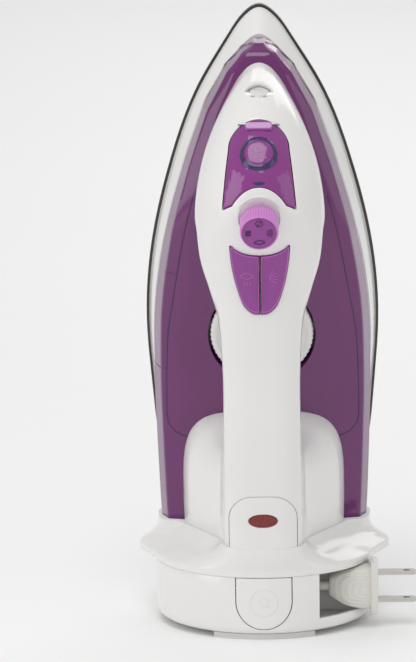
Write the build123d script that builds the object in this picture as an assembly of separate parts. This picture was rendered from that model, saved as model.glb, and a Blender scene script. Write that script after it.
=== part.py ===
from build123d import *
from math import cos, sin, pi
import os

# A steam iron that stands on its heel, with a cord reel in a drum under it.
# Two frames are used. The row frame is the one the iron stands in: X across, Y from the handle side to the
# sole, Z up, with the origin in the middle of the heel's footprint. The body frame belongs to the soleplate:
# a point is (x, a, h), with a along the sole from heel to tip and h above the ironing face. The body leans
# towards the handle side, so that the heavy soleplate stays over the drum.

# ---------------------------------------------------------------- driving dimensions, in millimetres
LEAN = 8.0                 # degrees the sole leans back from upright when the iron stands
SOLE_FOOT_Y = 61.0         # where the ironing face would meet the floor

SOLE_LENGTH = 227.0        # heel edge to tip
SOLE_HEEL = 58.0           # body-frame place of the sole's heel edge
SOLE_HALF = 54.5           # half of the widest place
SOLE_THICK = 3.0
SKIRT_TOP = 22.0           # the skirt's upper edge above the ironing face
TANK_FLOOR = 24.0
WALL = 2.2                 # usual moulded wall
THIN = 1.6                 # inner moulded wall

DIAL_A, DIAL_H, DIAL_TILT = 141.5, 52.0, 13.0      # temperature dial on the tank's saddle
DIAL_R, DIAL_THICK = 23.5, 6.0
KNOB_A, KNOB_H, KNOB_TILT = 214.0, 119.6, 14.0     # steam knob on the pommel
KNOB_R, KNOB_HIGH = 8.3, 12.0
LID_A, LID_H, LID_TILT = 241.0, 110.0, -48.0       # middle of the filling lid
STOPPER_R, STOPPER_LONG = 8.0, 7.5
BUTTON_A, BUTTON_H, BUTTON_TILT = 186.0, 113.2, 10.0

DRUM_R, DRUM_BOTTOM, DRUM_TOP = 50.0, 2.5, 29.0
DRUM_FLOOR = 5.0
COLLAR_TOP = 43.0

REEL_X, REEL_Y = -8.0, 8.0
REEL_R, HUB_R, WOUND_R = 34.0, 13.0, 28.8
REEL_LOW, REEL_HIGH, FLANGE = 9.4, 27.0, 1.4
CORD_R = 2.0
CORD_Y = REEL_Y - WOUND_R - CORD_R - 0.2           # the cord leaves the reel along this line
CORD_Z = 18.7

POCKET_LEFT, POCKET_BACK = 25.0, -13.0
POCKET_LIP = 8.4
PLATE_X, PLATE_THICK = 48.6, 3.2
BLADE_LONG, BLADE_WIDE, BLADE_THICK, BLADE_PITCH = 17.5, 6.35, 1.5, 12.7

REWIND_HALF, REWIND_LOW = 12.5, 5.0

parts = {}


# ---------------------------------------------------------------- placing
def in_row(shape):
    """Carries a shape from the body frame, drawn as (x, -h, a), into the row frame."""
    return Location((0, SOLE_FOOT_Y, 0), (LEAN, 0, 0)) * shape


def on_body(a, h, tilt=0.0, x=0.0):
    """A body-frame seat: its Z points out of the casing, its Y towards the tip, leaning by tilt degrees."""
    return Location((x, -h, a), (90 + tilt, 0, 0))


def flat(h):
    """A body-frame plane at height h, with X across and Y towards the tip."""
    return Plane(origin=(0, -h, 0), x_dir=(1, 0, 0), z_dir=(0, -1, 0))


def keep(name, shape):
    """Puts a finished piece, already in the row frame, on the list of parts to write."""
    parts[name] = shape


def keep_body(name, shape):
    keep(name, in_row(shape))


# ---------------------------------------------------------------- the sole's outline, shared by four pieces
BOAT = [(0.013, 0.108), (0.062, 0.264), (0.156, 0.503), (0.323, 0.774), (0.493, 0.945),
        (0.674, 1.0), (0.8, 0.965), (0.93, 0.905)]


def boat_face(tip, heel, half, corner=8.0):
    """The sole's plan from tip to heel, half its greatest half-width, drawn on the XY plane."""
    side = [(half * w, tip - (tip - heel) * u) for u, w in BOAT] + [(half * 0.87, heel + corner)]
    around = [(-x, a) for x, a in reversed(side)] + [(0, tip)] + side
    end = (half * 0.87 - corner, heel)
    bend = (half * 0.87 - 0.3 * corner, heel + 0.27 * corner)
    right = ThreePointArc(side[-1], bend, end)
    left = ThreePointArc((-end[0], end[1]), (-bend[0], bend[1]), around[0])
    heel_line = Line(end, (-end[0], end[1]))
    return make_face([*Spline(*around).edges(), *right.edges(), *heel_line.edges(), *left.edges()])


def boat_solid(low, high):
    """A lofted body between two levels of the boat outline, each (h, tip, heel, half)."""
    return loft([flat(level[0]) * boat_face(*level[1:]) for level in (low, high)])


def boat_plate(h, thick, tip, heel, half):
    return extrude(flat(h) * boat_face(tip, heel, half), thick)


# ---------------------------------------------------------------- soleplate, heater and steam chamber
TIP = SOLE_HEEL + SOLE_LENGTH


def steam_holes():
    """Places of the steam holes: a row behind each side of the tip and a short double row."""
    places = []
    for i in range(7):
        u = 0.11 + 0.075 * i
        reach = 6.0 + 24.0 * (i / 6) ** 0.75
        places += [(reach, TIP - SOLE_LENGTH * u), (-reach, TIP - SOLE_LENGTH * u)]
    for i in range(4):
        place = TIP - SOLE_LENGTH * (0.42 + 0.06 * i)
        places += [(9.0, place), (-9.0, place)]
    return places


def soleplate():
    plate = boat_plate(0, SOLE_THICK, TIP, SOLE_HEEL, SOLE_HALF)
    holes = [flat(-1) * Pos(x, a) * Cylinder(1.5, 3 * SOLE_THICK) for x, a in steam_holes()]
    return plate - holes


ELEMENT_R = 3.4
HEATER_TOP = 13.0


def element_path():
    """The heater's U, round the front of the block, with its two ends at the heel."""
    h = HEATER_TOP + 0.2
    arm, back, front = 26.0, 92.0, 214.0
    line = Polyline((arm, -h, back), (arm, -h, front - arm - 6), (9, -h, front), (-9, -h, front),
                    (-arm, -h, front - arm - 6), (-arm, -h, back))
    return fillet(line.vertices()[1:-1], 8)


def heater_block():
    block = boat_plate(SOLE_THICK, HEATER_TOP - SOLE_THICK, TIP - 26, SOLE_HEEL + 14, SOLE_HALF - 13)
    channel = sweep(Plane(origin=element_path() @ 0, z_dir=element_path() % 0) * Circle(ELEMENT_R + 0.1),
                    path=element_path())
    chamber = extrude(flat(7.5) * Pos(0, 150) * RectangleRounded(30, 84, 6), 10)
    feeds = [flat(SOLE_THICK) * Pos(x, a) * Cylinder(1.5, 30) for x, a in steam_holes() if abs(x) < 10]
    pins = [Pos(x, -HEATER_TOP - 0.2, 88) * Cylinder(1.4, 12) for x in (26.0, -26.0)]
    return block - channel - chamber - feeds - pins


def heating_element():
    path = element_path()
    rod = sweep(Plane(origin=path @ 0, z_dir=path % 0) * Circle(ELEMENT_R), path=path)
    pins = [Pos(x, -HEATER_TOP - 0.2, 88) * Cylinder(1.2, 8) for x in (26.0, -26.0)]
    return rod + pins


def chamber_cover():
    return extrude(flat(HEATER_TOP) * Pos(0, 150) * RectangleRounded(34, 92, 8), 1.0) \
        - flat(HEATER_TOP - 5) * Pos(0, 182) * Cylinder(2.6, 20)


keep_body("soleplate", soleplate())
keep_body("heater_block", heater_block())
keep_body("heating_element", heating_element())
keep_body("steam_chamber_cover", chamber_cover())


# ---------------------------------------------------------------- skirt
WIRE_X, WIRE_H = 7.0, 17.0


def wire_holes():
    """The two holes through the heel that the heater's wires pass."""
    return in_row(Compound([Pos(x, -WIRE_H, 48) * Cylinder(1.9, 40) for x in (WIRE_X, -WIRE_X)]))


def skirt():
    outer = boat_solid((SOLE_THICK, TIP - 1.5, SOLE_HEEL - 1, SOLE_HALF - 1.2),
                       (SKIRT_TOP, TIP - 10, SOLE_HEEL - 3, SOLE_HALF - 4.0))
    inner = boat_solid((SOLE_THICK - 1, TIP - 7, SOLE_HEEL + 4, SOLE_HALF - 4.4),
                       (SKIRT_TOP - 2, TIP - 16, SOLE_HEEL + 2, SOLE_HALF - 7.2))
    window = boat_solid((SKIRT_TOP - 3, TIP - 40, SOLE_HEEL + 22, SOLE_HALF - 22),
                        (SKIRT_TOP + 1, TIP - 40, SOLE_HEEL + 22, SOLE_HALF - 22))
    return outer - inner - window


keep("skirt", in_row(skirt()) - wire_holes())


# ---------------------------------------------------------------- smooth tables
def smooth(table, t):
    """Reads a table of rows (t, value, value...) at t, on a curve that passes through every row."""
    i = max(0, min(len(table) - 2, sum(1 for row in table if row[0] <= t) - 1))
    before, low, high, after = (table[max(0, min(len(table) - 1, k))] for k in (i - 1, i, i + 1, i + 2))
    span = high[0] - low[0]
    u = (t - low[0]) / span
    values = []
    for k in range(1, len(low)):
        slope_low = (high[k] - before[k]) / (high[0] - before[0]) * span
        slope_high = (after[k] - low[k]) / (after[0] - low[0]) * span
        values.append((2 * u**3 - 3 * u**2 + 1) * low[k] + (u**3 - 2 * u**2 + u) * slope_low
                      + (3 * u**2 - 2 * u**3) * high[k] + (u**3 - u**2) * slope_high)
    return values


def steps(low, high, count):
    return [low + (high - low) * i / (count - 1) for i in range(count)]


# ---------------------------------------------------------------- water tank
# place along the sole, half-width at the floor, height of the middle of the roof
TANK = [(44.0, 48.0, 45.3), (60.0, 48.6, 45.7), (85.0, 49.4, 46.5), (120.0, 50.0, 49.0), (155.0, 48.7, 53.0),
        (190.0, 43.0, 56.0), (220.0, 34.4, 55.0), (245.0, 25.3, 51.0), (262.0, 15.6, 47.0), (270.5, 8.0, 44.0)]
TANK_BACK, TANK_FRONT = 44.0, 270.5
NOSE_A, NOSE_TOP, NOSE_HALF = 274.6, 30.0, 2.0


def tank_section(a, half, top):
    """One cross-section of the tank: upright sides, a rounded shoulder and a nearly flat roof."""
    rise = top - TANK_FLOOR
    over = [(half, TANK_FLOOR), (half - 0.6, TANK_FLOOR + 0.45 * rise),
            (half * 0.93 - 1.0, TANK_FLOOR + 0.8 * rise), (half * 0.7, top - 0.7)]
    over = over + [(0, top)] + [(-x, h) for x, h in reversed(over)]
    face = make_face([*Spline(*over).edges(), *Line(over[-1], over[0]).edges()])
    return Plane(origin=(0, 0, a), x_dir=(1, 0, 0), z_dir=(0, 0, 1)) * mirror(face, about=Plane.XZ)


def tank_body():
    stations = [(a, *smooth(TANK, a)) for a in steps(TANK_BACK, TANK_FRONT, 15)]
    return loft([tank_section(*row) for row in stations + [(NOSE_A, NOSE_HALF, NOSE_TOP)]], ruled=True)


def tank_void():
    """The water space: the same shape, a wall's thickness smaller."""
    sections = []
    for a in steps(TANK_BACK + 9, TANK_FRONT - 2 * WALL, 13):
        half, top = smooth(TANK, a)
        sections.append(tank_section(a, half - WALL, top - WALL))
    return loft(sections, ruled=True)


TANK_SOLID = tank_body()


def above(z):
    return Pos(0, 0, z) * Box(400, 400, 400, align=(Align.CENTER, Align.CENTER, Align.MIN))


def dial_seat(drop):
    """A seat on the axis of the temperature dial, drop below its face."""
    return on_body(DIAL_A, DIAL_H, DIAL_TILT) * Pos(0, 0, -drop)


def knob_seat(drop):
    """A seat on the axis of the steam knob, drop below the casing's surface."""
    return on_body(KNOB_A, KNOB_H, KNOB_TILT) * Pos(0, 0, -drop)


def peg(radius, long):
    """A round bar that stands on the seat it is given."""
    return Cylinder(radius, long, align=(Align.CENTER, Align.CENTER, Align.MIN))


WELL_R = 4.2               # tube through the tank for the temperature dial's shaft
ROD_R = 1.5                # steam valve rod
VALVE_DROP = 94.0          # from the knob's seat down to the drip seat
FILL_A, FILL_R = 239.5, 5.8


def tank_shell():
    pocket = dial_seat(DIAL_THICK + 1.5) * peg(DIAL_R + 1.2, 30)
    pocket_wall = dial_seat(DIAL_THICK + 1.5 + WALL) * peg(DIAL_R + 1.2 + WALL, 40)
    well = dial_seat(50) * peg(WELL_R, 60)
    well_wall = dial_seat(50) * peg(WELL_R + THIN, 60)
    valve_hole = knob_seat(VALVE_DROP) * peg(ROD_R + 0.6, 60)
    fill_hole = on_body(FILL_A, 40.0) * peg(FILL_R - 1.5, 30)
    void = tank_void() - pocket_wall - well_wall
    return in_row(TANK_SOLID - void - pocket - well - valve_hole - fill_hole) & above(COLLAR_TOP)


def tank_floor():
    plate = boat_plate(SKIRT_TOP, TANK_FLOOR - SKIRT_TOP, TIP - 12, SOLE_HEEL - 4, SOLE_HALF - 5.2)
    return plate - dial_seat(50) * peg(WELL_R, 60) - knob_seat(VALVE_DROP + 8) * peg(3.4, 20)


keep("water_tank", tank_shell())
keep_body("tank_floor", tank_floor())


# ---------------------------------------------------------------- white casing: pommel, handle and rear leg
# height, nose, rear, half-width: level sections through the pommel and through the rear leg
POMMEL = [(46.0, 266.8, 178.0, 20.5), (60.0, 264.4, 184.5, 25.0), (75.0, 260.2, 188.0, 27.8),
          (90.0, 254.0, 188.5, 28.6), (100.0, 248.0, 182.0, 27.6), (108.0, 240.8, 174.0, 25.2),
          (114.0, 234.0, 180.0, 21.8), (118.6, 227.0, 196.0, 15.5)]
LEG = [(46.0, 106.0, 14.0, 36.9), (56.0, 101.0, 20.0, 33.5), (66.0, 98.0, 26.0, 28.0),
       (76.0, 98.0, 32.0, 22.5), (86.0, 101.0, 38.0, 18.6), (95.0, 104.0, 44.0, 17.2)]
POMMEL_WIDEST, LEG_WIDEST = 207.0, 68.0
# place along the sole, height of the top, height of the underside, half-width
BAR = [(52.0, 105.2, 82.0, 18.0), (75.0, 106.3, 82.5, 17.6), (100.0, 107.3, 84.0, 17.0),
       (130.0, 108.5, 85.5, 17.0), (160.0, 110.6, 87.5, 18.3), (185.0, 114.4, 88.0, 19.6),
       (205.0, 118.8, 88.0, 20.5), (216.0, 120.3, 90.0, 16.0)]


def oval(half_x, front, rear, power):
    """A closed curve between an ellipse, power 1, and a rounded rectangle, power near 0.5."""
    points = []
    for k in range(16):
        c, s = cos(2 * pi * k / 16), sin(2 * pi * k / 16)
        across = half_x * abs(c) ** power
        along = (front if s >= 0 else -rear) * abs(s) ** power
        points.append((across if c >= 0 else -across, along))
    return make_face(Spline(*points, periodic=True).edges())


def level_sections(table, inset, count, power, widest):
    """Level sections from a table, each widest at the same place along the sole."""
    sections = []
    for h in steps(table[0][0], table[-1][0] - inset, count):
        front, back, half = smooth(table, h)
        section = oval(half - inset, front - widest - inset, widest - back - inset, power)
        sections.append(flat(h) * Pos(0, widest) * section)
    return sections


def bar_sections(inset, count):
    sections = []
    for a in steps(BAR[0][0], BAR[-1][0], count):
        top, under, half = smooth(BAR, a)
        seat = Plane(origin=(0, -(top + under) / 2, a), x_dir=(1, 0, 0), z_dir=(0, 0, 1))
        deep = (top - under) / 2 - inset
        sections.append(seat * oval(half - inset, deep, deep, 0.8))
    return sections


def casing_body(inset=0.0):
    """The casing as one solid; an inset gives the space inside its wall."""
    pommel = loft(level_sections(POMMEL, inset, 12, 1.0, POMMEL_WIDEST), ruled=True)
    leg = loft(level_sections(LEG, inset, 8, 0.55, LEG_WIDEST), ruled=True)
    bar = loft(bar_sections(inset, 12), ruled=True)
    return in_row(pommel + bar + leg)


def lid_prism(grow=0.0):
    """The filling lid's outline, carried through the pommel's surface: an arch with a hollow lower edge."""
    side = 15.8 + grow
    low = -19.2 - 2 * grow
    arch = 12.9 + grow
    outline = [*ThreePointArc((-arch, 6), (0, 19.4 + grow), (arch, 6)).edges(),
               *Line((arch, 6), (side, low)).edges(), *Line((side, low), (11.6, low)).edges(),
               *ThreePointArc((11.6, low), (0, -14.6 - grow), (-11.6, low)).edges(),
               *Line((-11.6, low), (-side, low)).edges(), *Line((-side, low), (-arch, 6)).edges()]
    return in_row(on_body(LID_A, LID_H, LID_TILT) * Pos(0, 0, -15) * extrude(make_face(outline), 25))


def button_prism(side, grow=0.0):
    """One of the two trigger buttons in plan: a crescent shoulder at the knob and a point at the rear."""
    middle = 0.35 - grow
    flank = [(middle, -16.6 - grow), (3.2, -16.3 - grow), (6.3 + grow, -13.6 - grow), (8.5 + grow, -9.3),
             (10.8 + grow, -0.8), (12.2 + grow, 7.7), (12.7 + grow, 15.4 + grow)]
    shoulder = [flank[-1], (7.5, 12.6 + grow), (middle, 11.6 + grow)]
    flank = [(side * x, y) for x, y in flank]
    shoulder = [(side * x, y) for x, y in shoulder]
    outline = [*Line(shoulder[-1], flank[0]).edges(), *Spline(*flank).edges(), *Spline(*shoulder).edges()]
    return in_row(on_body(BUTTON_A, BUTTON_H, BUTTON_TILT) * Pos(0, 0, -9) * extrude(make_face(outline), 18))


TONGUE_HALF, TONGUE_TOP = 15.2, 67.4


def tongue_prism(grow=0.0):
    half, arch = TONGUE_HALF + grow, TONGUE_TOP - TONGUE_HALF
    outline = Rectangle(2 * half, arch - 30, align=(Align.CENTER, Align.MIN))
    outline = outline + Pos(0, arch - 30) * Circle(half)
    return Pos(0, -40, 30) * Rot(90, 0, 0) * extrude(outline, 40)


SHELF_A, SCOOP_H, SCOOP_HALF = 259.0, 73.0, 5.5
NOZZLE_H = 77.5


def nozzle_scoop(grow=0.0):
    """The trough in the pommel's nose in front of the spray nozzle."""
    half = SCOOP_HALF + grow
    outline = Circle(half) + Rectangle(2 * half, 30, align=(Align.CENTER, Align.MAX))
    return in_row(Pos(0, -SCOOP_H, SHELF_A - grow) * extrude(outline, 30))


def lid_seat(along, drop):
    """A seat on the filling lid, along its middle line and drop below its middle."""
    return on_body(LID_A, LID_H, LID_TILT) * Pos(0, along, -drop)


LID_AXIS, LID_AXIS_DROP, LID_PIN_R = 17.6, 3.6, 0.6


def lid_axis_bar(radius, long):
    """A round bar along the lid's hinge axis."""
    return in_row(lid_seat(LID_AXIS, LID_AXIS_DROP) * Rot(0, 90, 0) * Cylinder(radius, long))


def casing_shell():
    """Both halves of the white casing as one wall, with every opening cut."""
    shell = (HOLLOW & above(COLLAR_TOP)) - in_row(TANK_SOLID)
    shell = shell - lid_prism(0.35) - button_prism(1, 0.3) - button_prism(-1, 0.3) - tongue_prism(0.15)
    shell = shell - in_row(knob_seat(1.2) * peg(KNOB_R + 0.6, 20))
    shell = shell + in_row(knob_seat(3.6) * peg(KNOB_R + 0.6, 2.4))
    liner = (nozzle_scoop(1.5) & FULL) - nozzle_scoop()
    shell = (shell - nozzle_scoop() + liner) - in_row(Pos(0, -NOZZLE_H, SHELF_A - 6) * peg(2.2, 12))
    return shell - in_row(knob_seat(8) * peg(3.2, 20)) - lid_axis_bar(2.6, 13.6) - lid_axis_bar(LID_PIN_R, 18)


def parting():
    """The half of space above the casing's parting line, a little over the middle of the handle."""
    line = [(20, 93), (60, 93), (130, 95), (175, 98), (205, 96), (240, 72), (300, 40), (300, 200), (20, 200)]
    face = make_face(Polyline(*[(0, -h, a) for a, h in line], close=True).edges())
    return in_row(extrude(face, 60, both=True, dir=(1, 0, 0)))


FULL = casing_body()
HOLLOW = FULL - casing_body(WALL)
SHELL = casing_shell()
TOP_HALF = parting()
keep("casing_upper", Compound((SHELL & TOP_HALF).solids().sort_by(SortBy.VOLUME)[-1:]))
keep("casing_lower", Compound([piece for piece in (SHELL - TOP_HALF).solids() if piece.volume > 500]))


# ---------------------------------------------------------------- filling lid and neck
def fill_lid():
    plate = HOLLOW & lid_prism()
    plate = Compound(plate.solids().sort_by(SortBy.VOLUME)[-1:])
    cone = Cone(STOPPER_R - 1.4, STOPPER_R, STOPPER_LONG, align=(Align.CENTER, Align.CENTER, Align.MIN))
    hollow = Pos(0, 0, -1) * peg(STOPPER_R - 2.8, STOPPER_LONG - 0.8)
    stopper = lid_seat(0, 3.4 + STOPPER_LONG) * (cone - hollow)
    return plate + in_row(stopper) + lid_axis_bar(1.3, 11.6) - lid_axis_bar(LID_PIN_R + 0.06, 30)


CUP_A, CUP_R, CUP_LOW = 236.0, 9.9, 78.5


def fill_neck():
    """A tube up from the tank's roof, widening to a cup for the stopper under the lid."""
    cup = flat(CUP_LOW) * Pos(0, CUP_A) * (peg(CUP_R, 40) - Pos(0, 0, THIN) * peg(CUP_R - 1.5, 40))
    tube = flat(46) * Pos(0, FILL_A) * peg(FILL_R, CUP_LOW - 45)
    bore = flat(45) * Pos(0, FILL_A) * peg(FILL_R - 1.5, CUP_LOW - 42)
    over_lid = lid_seat(0, 7.6) * Box(90, 90, 60, align=(Align.CENTER, Align.CENTER, Align.MIN))
    on_end = (Align.CENTER, Align.CENTER, Align.MIN)
    room = Cone(STOPPER_R - 1.1, STOPPER_R + 0.3, STOPPER_LONG + 0.6, align=on_end)
    stopper_room = lid_seat(0, 4.0 + STOPPER_LONG) * room
    return in_row(cup + tube - bore - over_lid - stopper_room) - in_row(TANK_SOLID)


keep("fill_lid", fill_lid())
keep("lid_pin", lid_axis_bar(LID_PIN_R, 18))
keep("fill_neck", fill_neck())


# ---------------------------------------------------------------- steam knob, valve rod and drip valve
def steam_knob():
    grip = peg(KNOB_R, KNOB_HIGH + 0.6) - Pos(0, 0, KNOB_HIGH + 0.1) * peg(KNOB_R - 1.6, 2)
    for i in range(24):
        grip = grip - Rot(0, 0, 15 * i) * Pos(KNOB_R + 0.35, 0, -1) * peg(0.75, KNOB_HIGH - 1)
    stem = Pos(0, 0, -5.6) * peg(3.1, 6)
    return in_row(knob_seat(0.9) * (grip + stem - Pos(0, 0, -6) * peg(ROD_R, 5)))


def drip_valve():
    """The seat in the tank's floor that the rod closes."""
    sleeve = peg(3.3, 7) - Pos(0, 0, -1) * peg(0.8, 10) - Pos(0, 0, 2) * peg(ROD_R + 0.1, 10)
    return in_row(knob_seat(101.4) * sleeve)


def steam_feed():
    """The tube from the drip valve back to the steam chamber's cover."""
    path = Polyline((0, -18.9, 238.8), (0, -18.9, 182), (0, -14.2, 182))
    path = fillet(path.vertices()[1:-1], 3)
    return in_row(sweep(Plane(origin=path @ 0, z_dir=path % 0) * Circle(1.5), path=path))


keep("steam_knob", steam_knob())
keep("valve_rod", in_row(knob_seat(99.2) * peg(ROD_R - 0.02, 93.8)))
keep("drip_valve", drip_valve())
keep("steam_feed_tube", steam_feed())


# ---------------------------------------------------------------- trigger buttons, pumps and spray nozzle
PUMP_X, PUMP_V = 6.2, 8.0


def button_axis(drop, side):
    return on_body(BUTTON_A, BUTTON_H, BUTTON_TILT) * Pos(side * PUMP_X, PUMP_V, -drop)


def shifted(shape, out):
    """The shape carried out of the casing along the buttons' line of travel."""
    line = in_row(on_body(0, 0, BUTTON_TILT)).position
    end = in_row(on_body(0, 0, BUTTON_TILT) * Pos(0, 0, out)).position
    return Pos(*(end - line)) * shape


def trigger_button(side, skin, under):
    cap = (skin & button_prism(side)) - under
    cap = Compound(cap.solids().sort_by(SortBy.VOLUME)[-1:])
    stem = in_row(button_axis(16, side) * peg(2.0, 15.6))
    return cap + stem


def pump(side):
    barrel = button_axis(44, side) * (peg(5.0, 29) - Pos(0, 0, 1.5) * peg(4.1, 40))
    return in_row(barrel)


def piston(side):
    return in_row(button_axis(20, side) * (peg(4.0, 4.0)))


def coil_spring(radius, height, turns, wire_r):
    line = Helix(pitch=height / turns, height=height, radius=radius)
    return sweep(Plane(origin=line @ 0, z_dir=line % 0) * Circle(wire_r), path=line)


SPRING_TURNS = 4
SKIN, UNDER = shifted(FULL, 0.9), shifted(FULL, -3.4)
for side, word in ((-1, "burst"), (1, "spray")):
    keep(f"{word}_button", trigger_button(side, SKIN, UNDER))
    keep(f"{word}_pump", pump(side))
    keep(f"{word}_piston", piston(side))
    keep_body(f"{word}_spring", button_axis(41.9, side) * coil_spring(3.0, 21.0, SPRING_TURNS, 0.4))


def spray_nozzle():
    tube = Pos(0, -NOZZLE_H, SHELF_A - 8) * peg(2.1, 8.6)
    lip = Pos(0, -NOZZLE_H, SHELF_A + 0.1) * extrude(RectangleRounded(7.0, 2.8, 1.2), 1.9)
    return in_row(tube + lip - Pos(0, -NOZZLE_H, SHELF_A - 9) * peg(0.5, 20))


def spray_tube():
    path = Spline((6.2, -69.0, 203.2), (12.0, -66.0, 214.0), (12.5, -68.0, 240.0), (6.0, -76.0, 249.0))
    return in_row(sweep(Plane(origin=path @ 0, z_dir=path % 0) * Circle(1.2), path=path))


keep("spray_nozzle", spray_nozzle())
keep("spray_tube", spray_tube())


# ---------------------------------------------------------------- temperature dial and thermostat
def temperature_dial():
    disc = Pos(0, 0, -DIAL_THICK) * peg(DIAL_R, DIAL_THICK)
    disc = chamfer(disc.edges().filter_by(GeomType.CIRCLE).sort_by(Axis.Z)[-1:], 0.8)
    for i in range(48):
        disc = disc - Rot(0, 0, 7.5 * i) * Pos(DIAL_R + 0.3, 0, -DIAL_THICK - 1) * peg(0.7, DIAL_THICK - 0.8)
    return in_row(dial_seat(0) * disc)


keep("temperature_dial", temperature_dial())
keep("dial_shaft", in_row(dial_seat(DIAL_THICK + 25.5) * peg(2.5, 25.5)))
keep_body("thermostat", extrude(flat(HEATER_TOP + 1.0) * Pos(0, 148.6) * RectangleRounded(20, 26, 2), 5.4))
keep_body("thermal_fuse", flat(HEATER_TOP + 2.2) * Pos(0, 96.0) * Rot(0, 90, 0) * Cylinder(2.2, 15))
block = extrude(flat(HEATER_TOP) * Pos(0, 79) * RectangleRounded(30, 9, 1), 6.5)
keep_body("terminal_block", block - [flat(HEATER_TOP + 3) * Pos(x, 79) * peg(1.6, 9) for x in (-9, 0, 9)])
screws = [flat(HEATER_TOP + 3) * Pos(x, 79) * peg(1.6, 3.1) for x in (-9, 0, 9)]
keep_body("terminal_screws", Compound(screws))


# ---------------------------------------------------------------- collar with its tongue
# half of the outline from the front to the back: at the rim, and at the top where the casing stands on it
RIM = [(0, -50), (11, -48.8), (22, -44.9), (33, -37.6), (41.5, -27.9), (47.3, -16.2), (50.4, -6), (53.8, 3),
       (58, 14), (57.4, 26), (53, 38), (42, 47.5), (22, 50.5), (0, 50.8)]
FOOT = [(0, -52.2), (9.5, -51.2), (15.8, -48), (17.9, -41), (19.5, -31.5), (23.2, -22), (28.6, -11.5),
        (34.0, -1.5), (38.2, 6.2), (46.5, 10.6), (49.4, 20), (48.6, 36), (36, 47.6), (0, 49.8)]
SLOPE = [(29.0, 0.0), (32.0, 0.0), (34.2, 0.3), (36.8, 0.62), (39.8, 0.86), (43.0, 1.0)]


def collar_outline(share, inset):
    points = []
    for (rx, ry), (fx, fy) in zip(RIM, FOOT):
        x, y = rx + (fx - rx) * share, ry + (fy - ry) * share
        shrink = 1 - inset / max(1.0, (x * x + y * y) ** 0.5)
        points.append((x * shrink, y * shrink))
    around = points + [(-x, y) for x, y in reversed(points[1:-1])]
    return make_face(Spline(*around, periodic=True).edges())


def collar_loft(inset, low, high):
    levels = [(max(z, low), share) for z, share in SLOPE if z < high] + [(high, smooth(SLOPE, high)[0])]
    levels = [level for i, level in enumerate(levels) if i == 0 or level[0] > levels[i - 1][0]]
    return loft([Pos(0, 0, z) * collar_outline(share, inset) for z, share in levels], ruled=True)


def heel_block(inset):
    """The hollow foot under the soleplate's heel."""
    size = Box(86 - 2 * inset, 16 - 2 * inset, 54.4 - inset, align=(Align.CENTER, Align.CENTER, Align.MIN))
    return in_row(Pos(0, -14, 0) * size)


def collar():
    body = collar_loft(0, 29.0, 43.0) + (heel_block(0) & above(40))
    body = body - collar_loft(WALL, 30.5, 43.0 - WALL) - (heel_block(WALL) & above(38))
    body = body - Pos(0, 0, 28) * peg(49.3, 2.5)
    tongue = (HOLLOW & tongue_prism()) & above(COLLAR_TOP - 0.5)
    tongue = Compound(tongue.solids().sort_by(SortBy.VOLUME)[-1:])
    return body + tongue - wire_holes() - lamp_hole(0.15)


LAMP_Z, LAMP_WIDE, LAMP_HIGH = 56.0, 12.7, 5.9


def lamp_hole(grow=0.0):
    outline = Ellipse(LAMP_WIDE / 2 + grow, LAMP_HIGH / 2 + grow)
    return Pos(0, -40, LAMP_Z) * Rot(90, 0, 0) * extrude(outline, 40)


keep("collar", collar())
lens = HOLLOW & lamp_hole()
keep("pilot_lens", Compound(lens.solids().sort_by(Axis.Y)[:1]))
keep("pilot_bulb", Pos(0, -43.6, LAMP_Z) * Rot(0, 90, 0) * Cylinder(1.9, 9))


# ---------------------------------------------------------------- reel housing and deck
def u_prism(grow=0.0):
    """The rewind button's outline, straight at the top and round at the bottom."""
    half = REWIND_HALF + grow
    low = REWIND_LOW + 0.3 - grow + half
    outline = Pos(0, low) * Circle(half) + Pos(0, low) * Rectangle(2 * half, 28.7 - low + 4 * grow,
                                                                 align=(Align.CENTER, Align.MIN))
    return Pos(0, -30, 0) * Rot(90, 0, 0) * extrude(outline, 30)


STEM_Z = 24.0
STEM_TIP = -38.6
PIVOT_X, PIVOT_Y = -10.0, -37.0


def reel_housing():
    cup = Pos(0, 0, DRUM_BOTTOM) * peg(DRUM_R, DRUM_TOP - DRUM_BOTTOM)
    cup = fillet(cup.edges().filter_by(GeomType.CIRCLE).sort_by(Axis.Z)[:1], 4)
    cup = cup - Pos(0, 0, DRUM_FLOOR) * peg(DRUM_R - WALL, 40)
    reach = DRUM_R + 5
    corner = (Align.MIN, Align.MAX, Align.MIN)
    pocket = Pos(POCKET_LEFT, POCKET_BACK, DRUM_FLOOR) * Box(reach, reach, 40, align=corner)
    walls = Box(reach, reach, DRUM_TOP - DRUM_FLOOR, align=corner)
    walls = Pos(POCKET_LEFT - THIN, POCKET_BACK + THIN, DRUM_FLOOR) * walls
    walls = (walls - pocket) & Pos(0, 0, DRUM_FLOOR) * peg(DRUM_R - 1, 40)
    cord_hole = Pos(POCKET_LEFT, CORD_Y, CORD_Z) * Rot(0, 90, 0) * Cylinder(4, 8)
    guide = Box(11, 1.0, STEM_Z - 1, align=(Align.CENTER, Align.CENTER, Align.MIN))
    guide = Pos(0, -39.2, DRUM_FLOOR) * guide
    guide = guide - Pos(0, -40, STEM_Z) * Rot(90, 0, 0) * Cylinder(2.1, 10)
    pins = Pos(REEL_X, REEL_Y, 0) * peg(3.0, 10) + Pos(PIVOT_X, PIVOT_Y, 3.5) * peg(1.5, 10)
    bosses = [Rot(0, 0, angle) * Pos(22, 0, 0) * peg(1.6, 10) for angle in (90, 210, 330)]
    hidden = pocket & Pos(0, 0, DRUM_FLOOR) * peg(DRUM_R - WALL, 40)
    cup = cup - hidden - Pos(0, 0, POCKET_LIP - DRUM_FLOOR) * pocket
    return cup + walls + guide - cord_hole - u_prism(0.3) - pins - bosses


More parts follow.
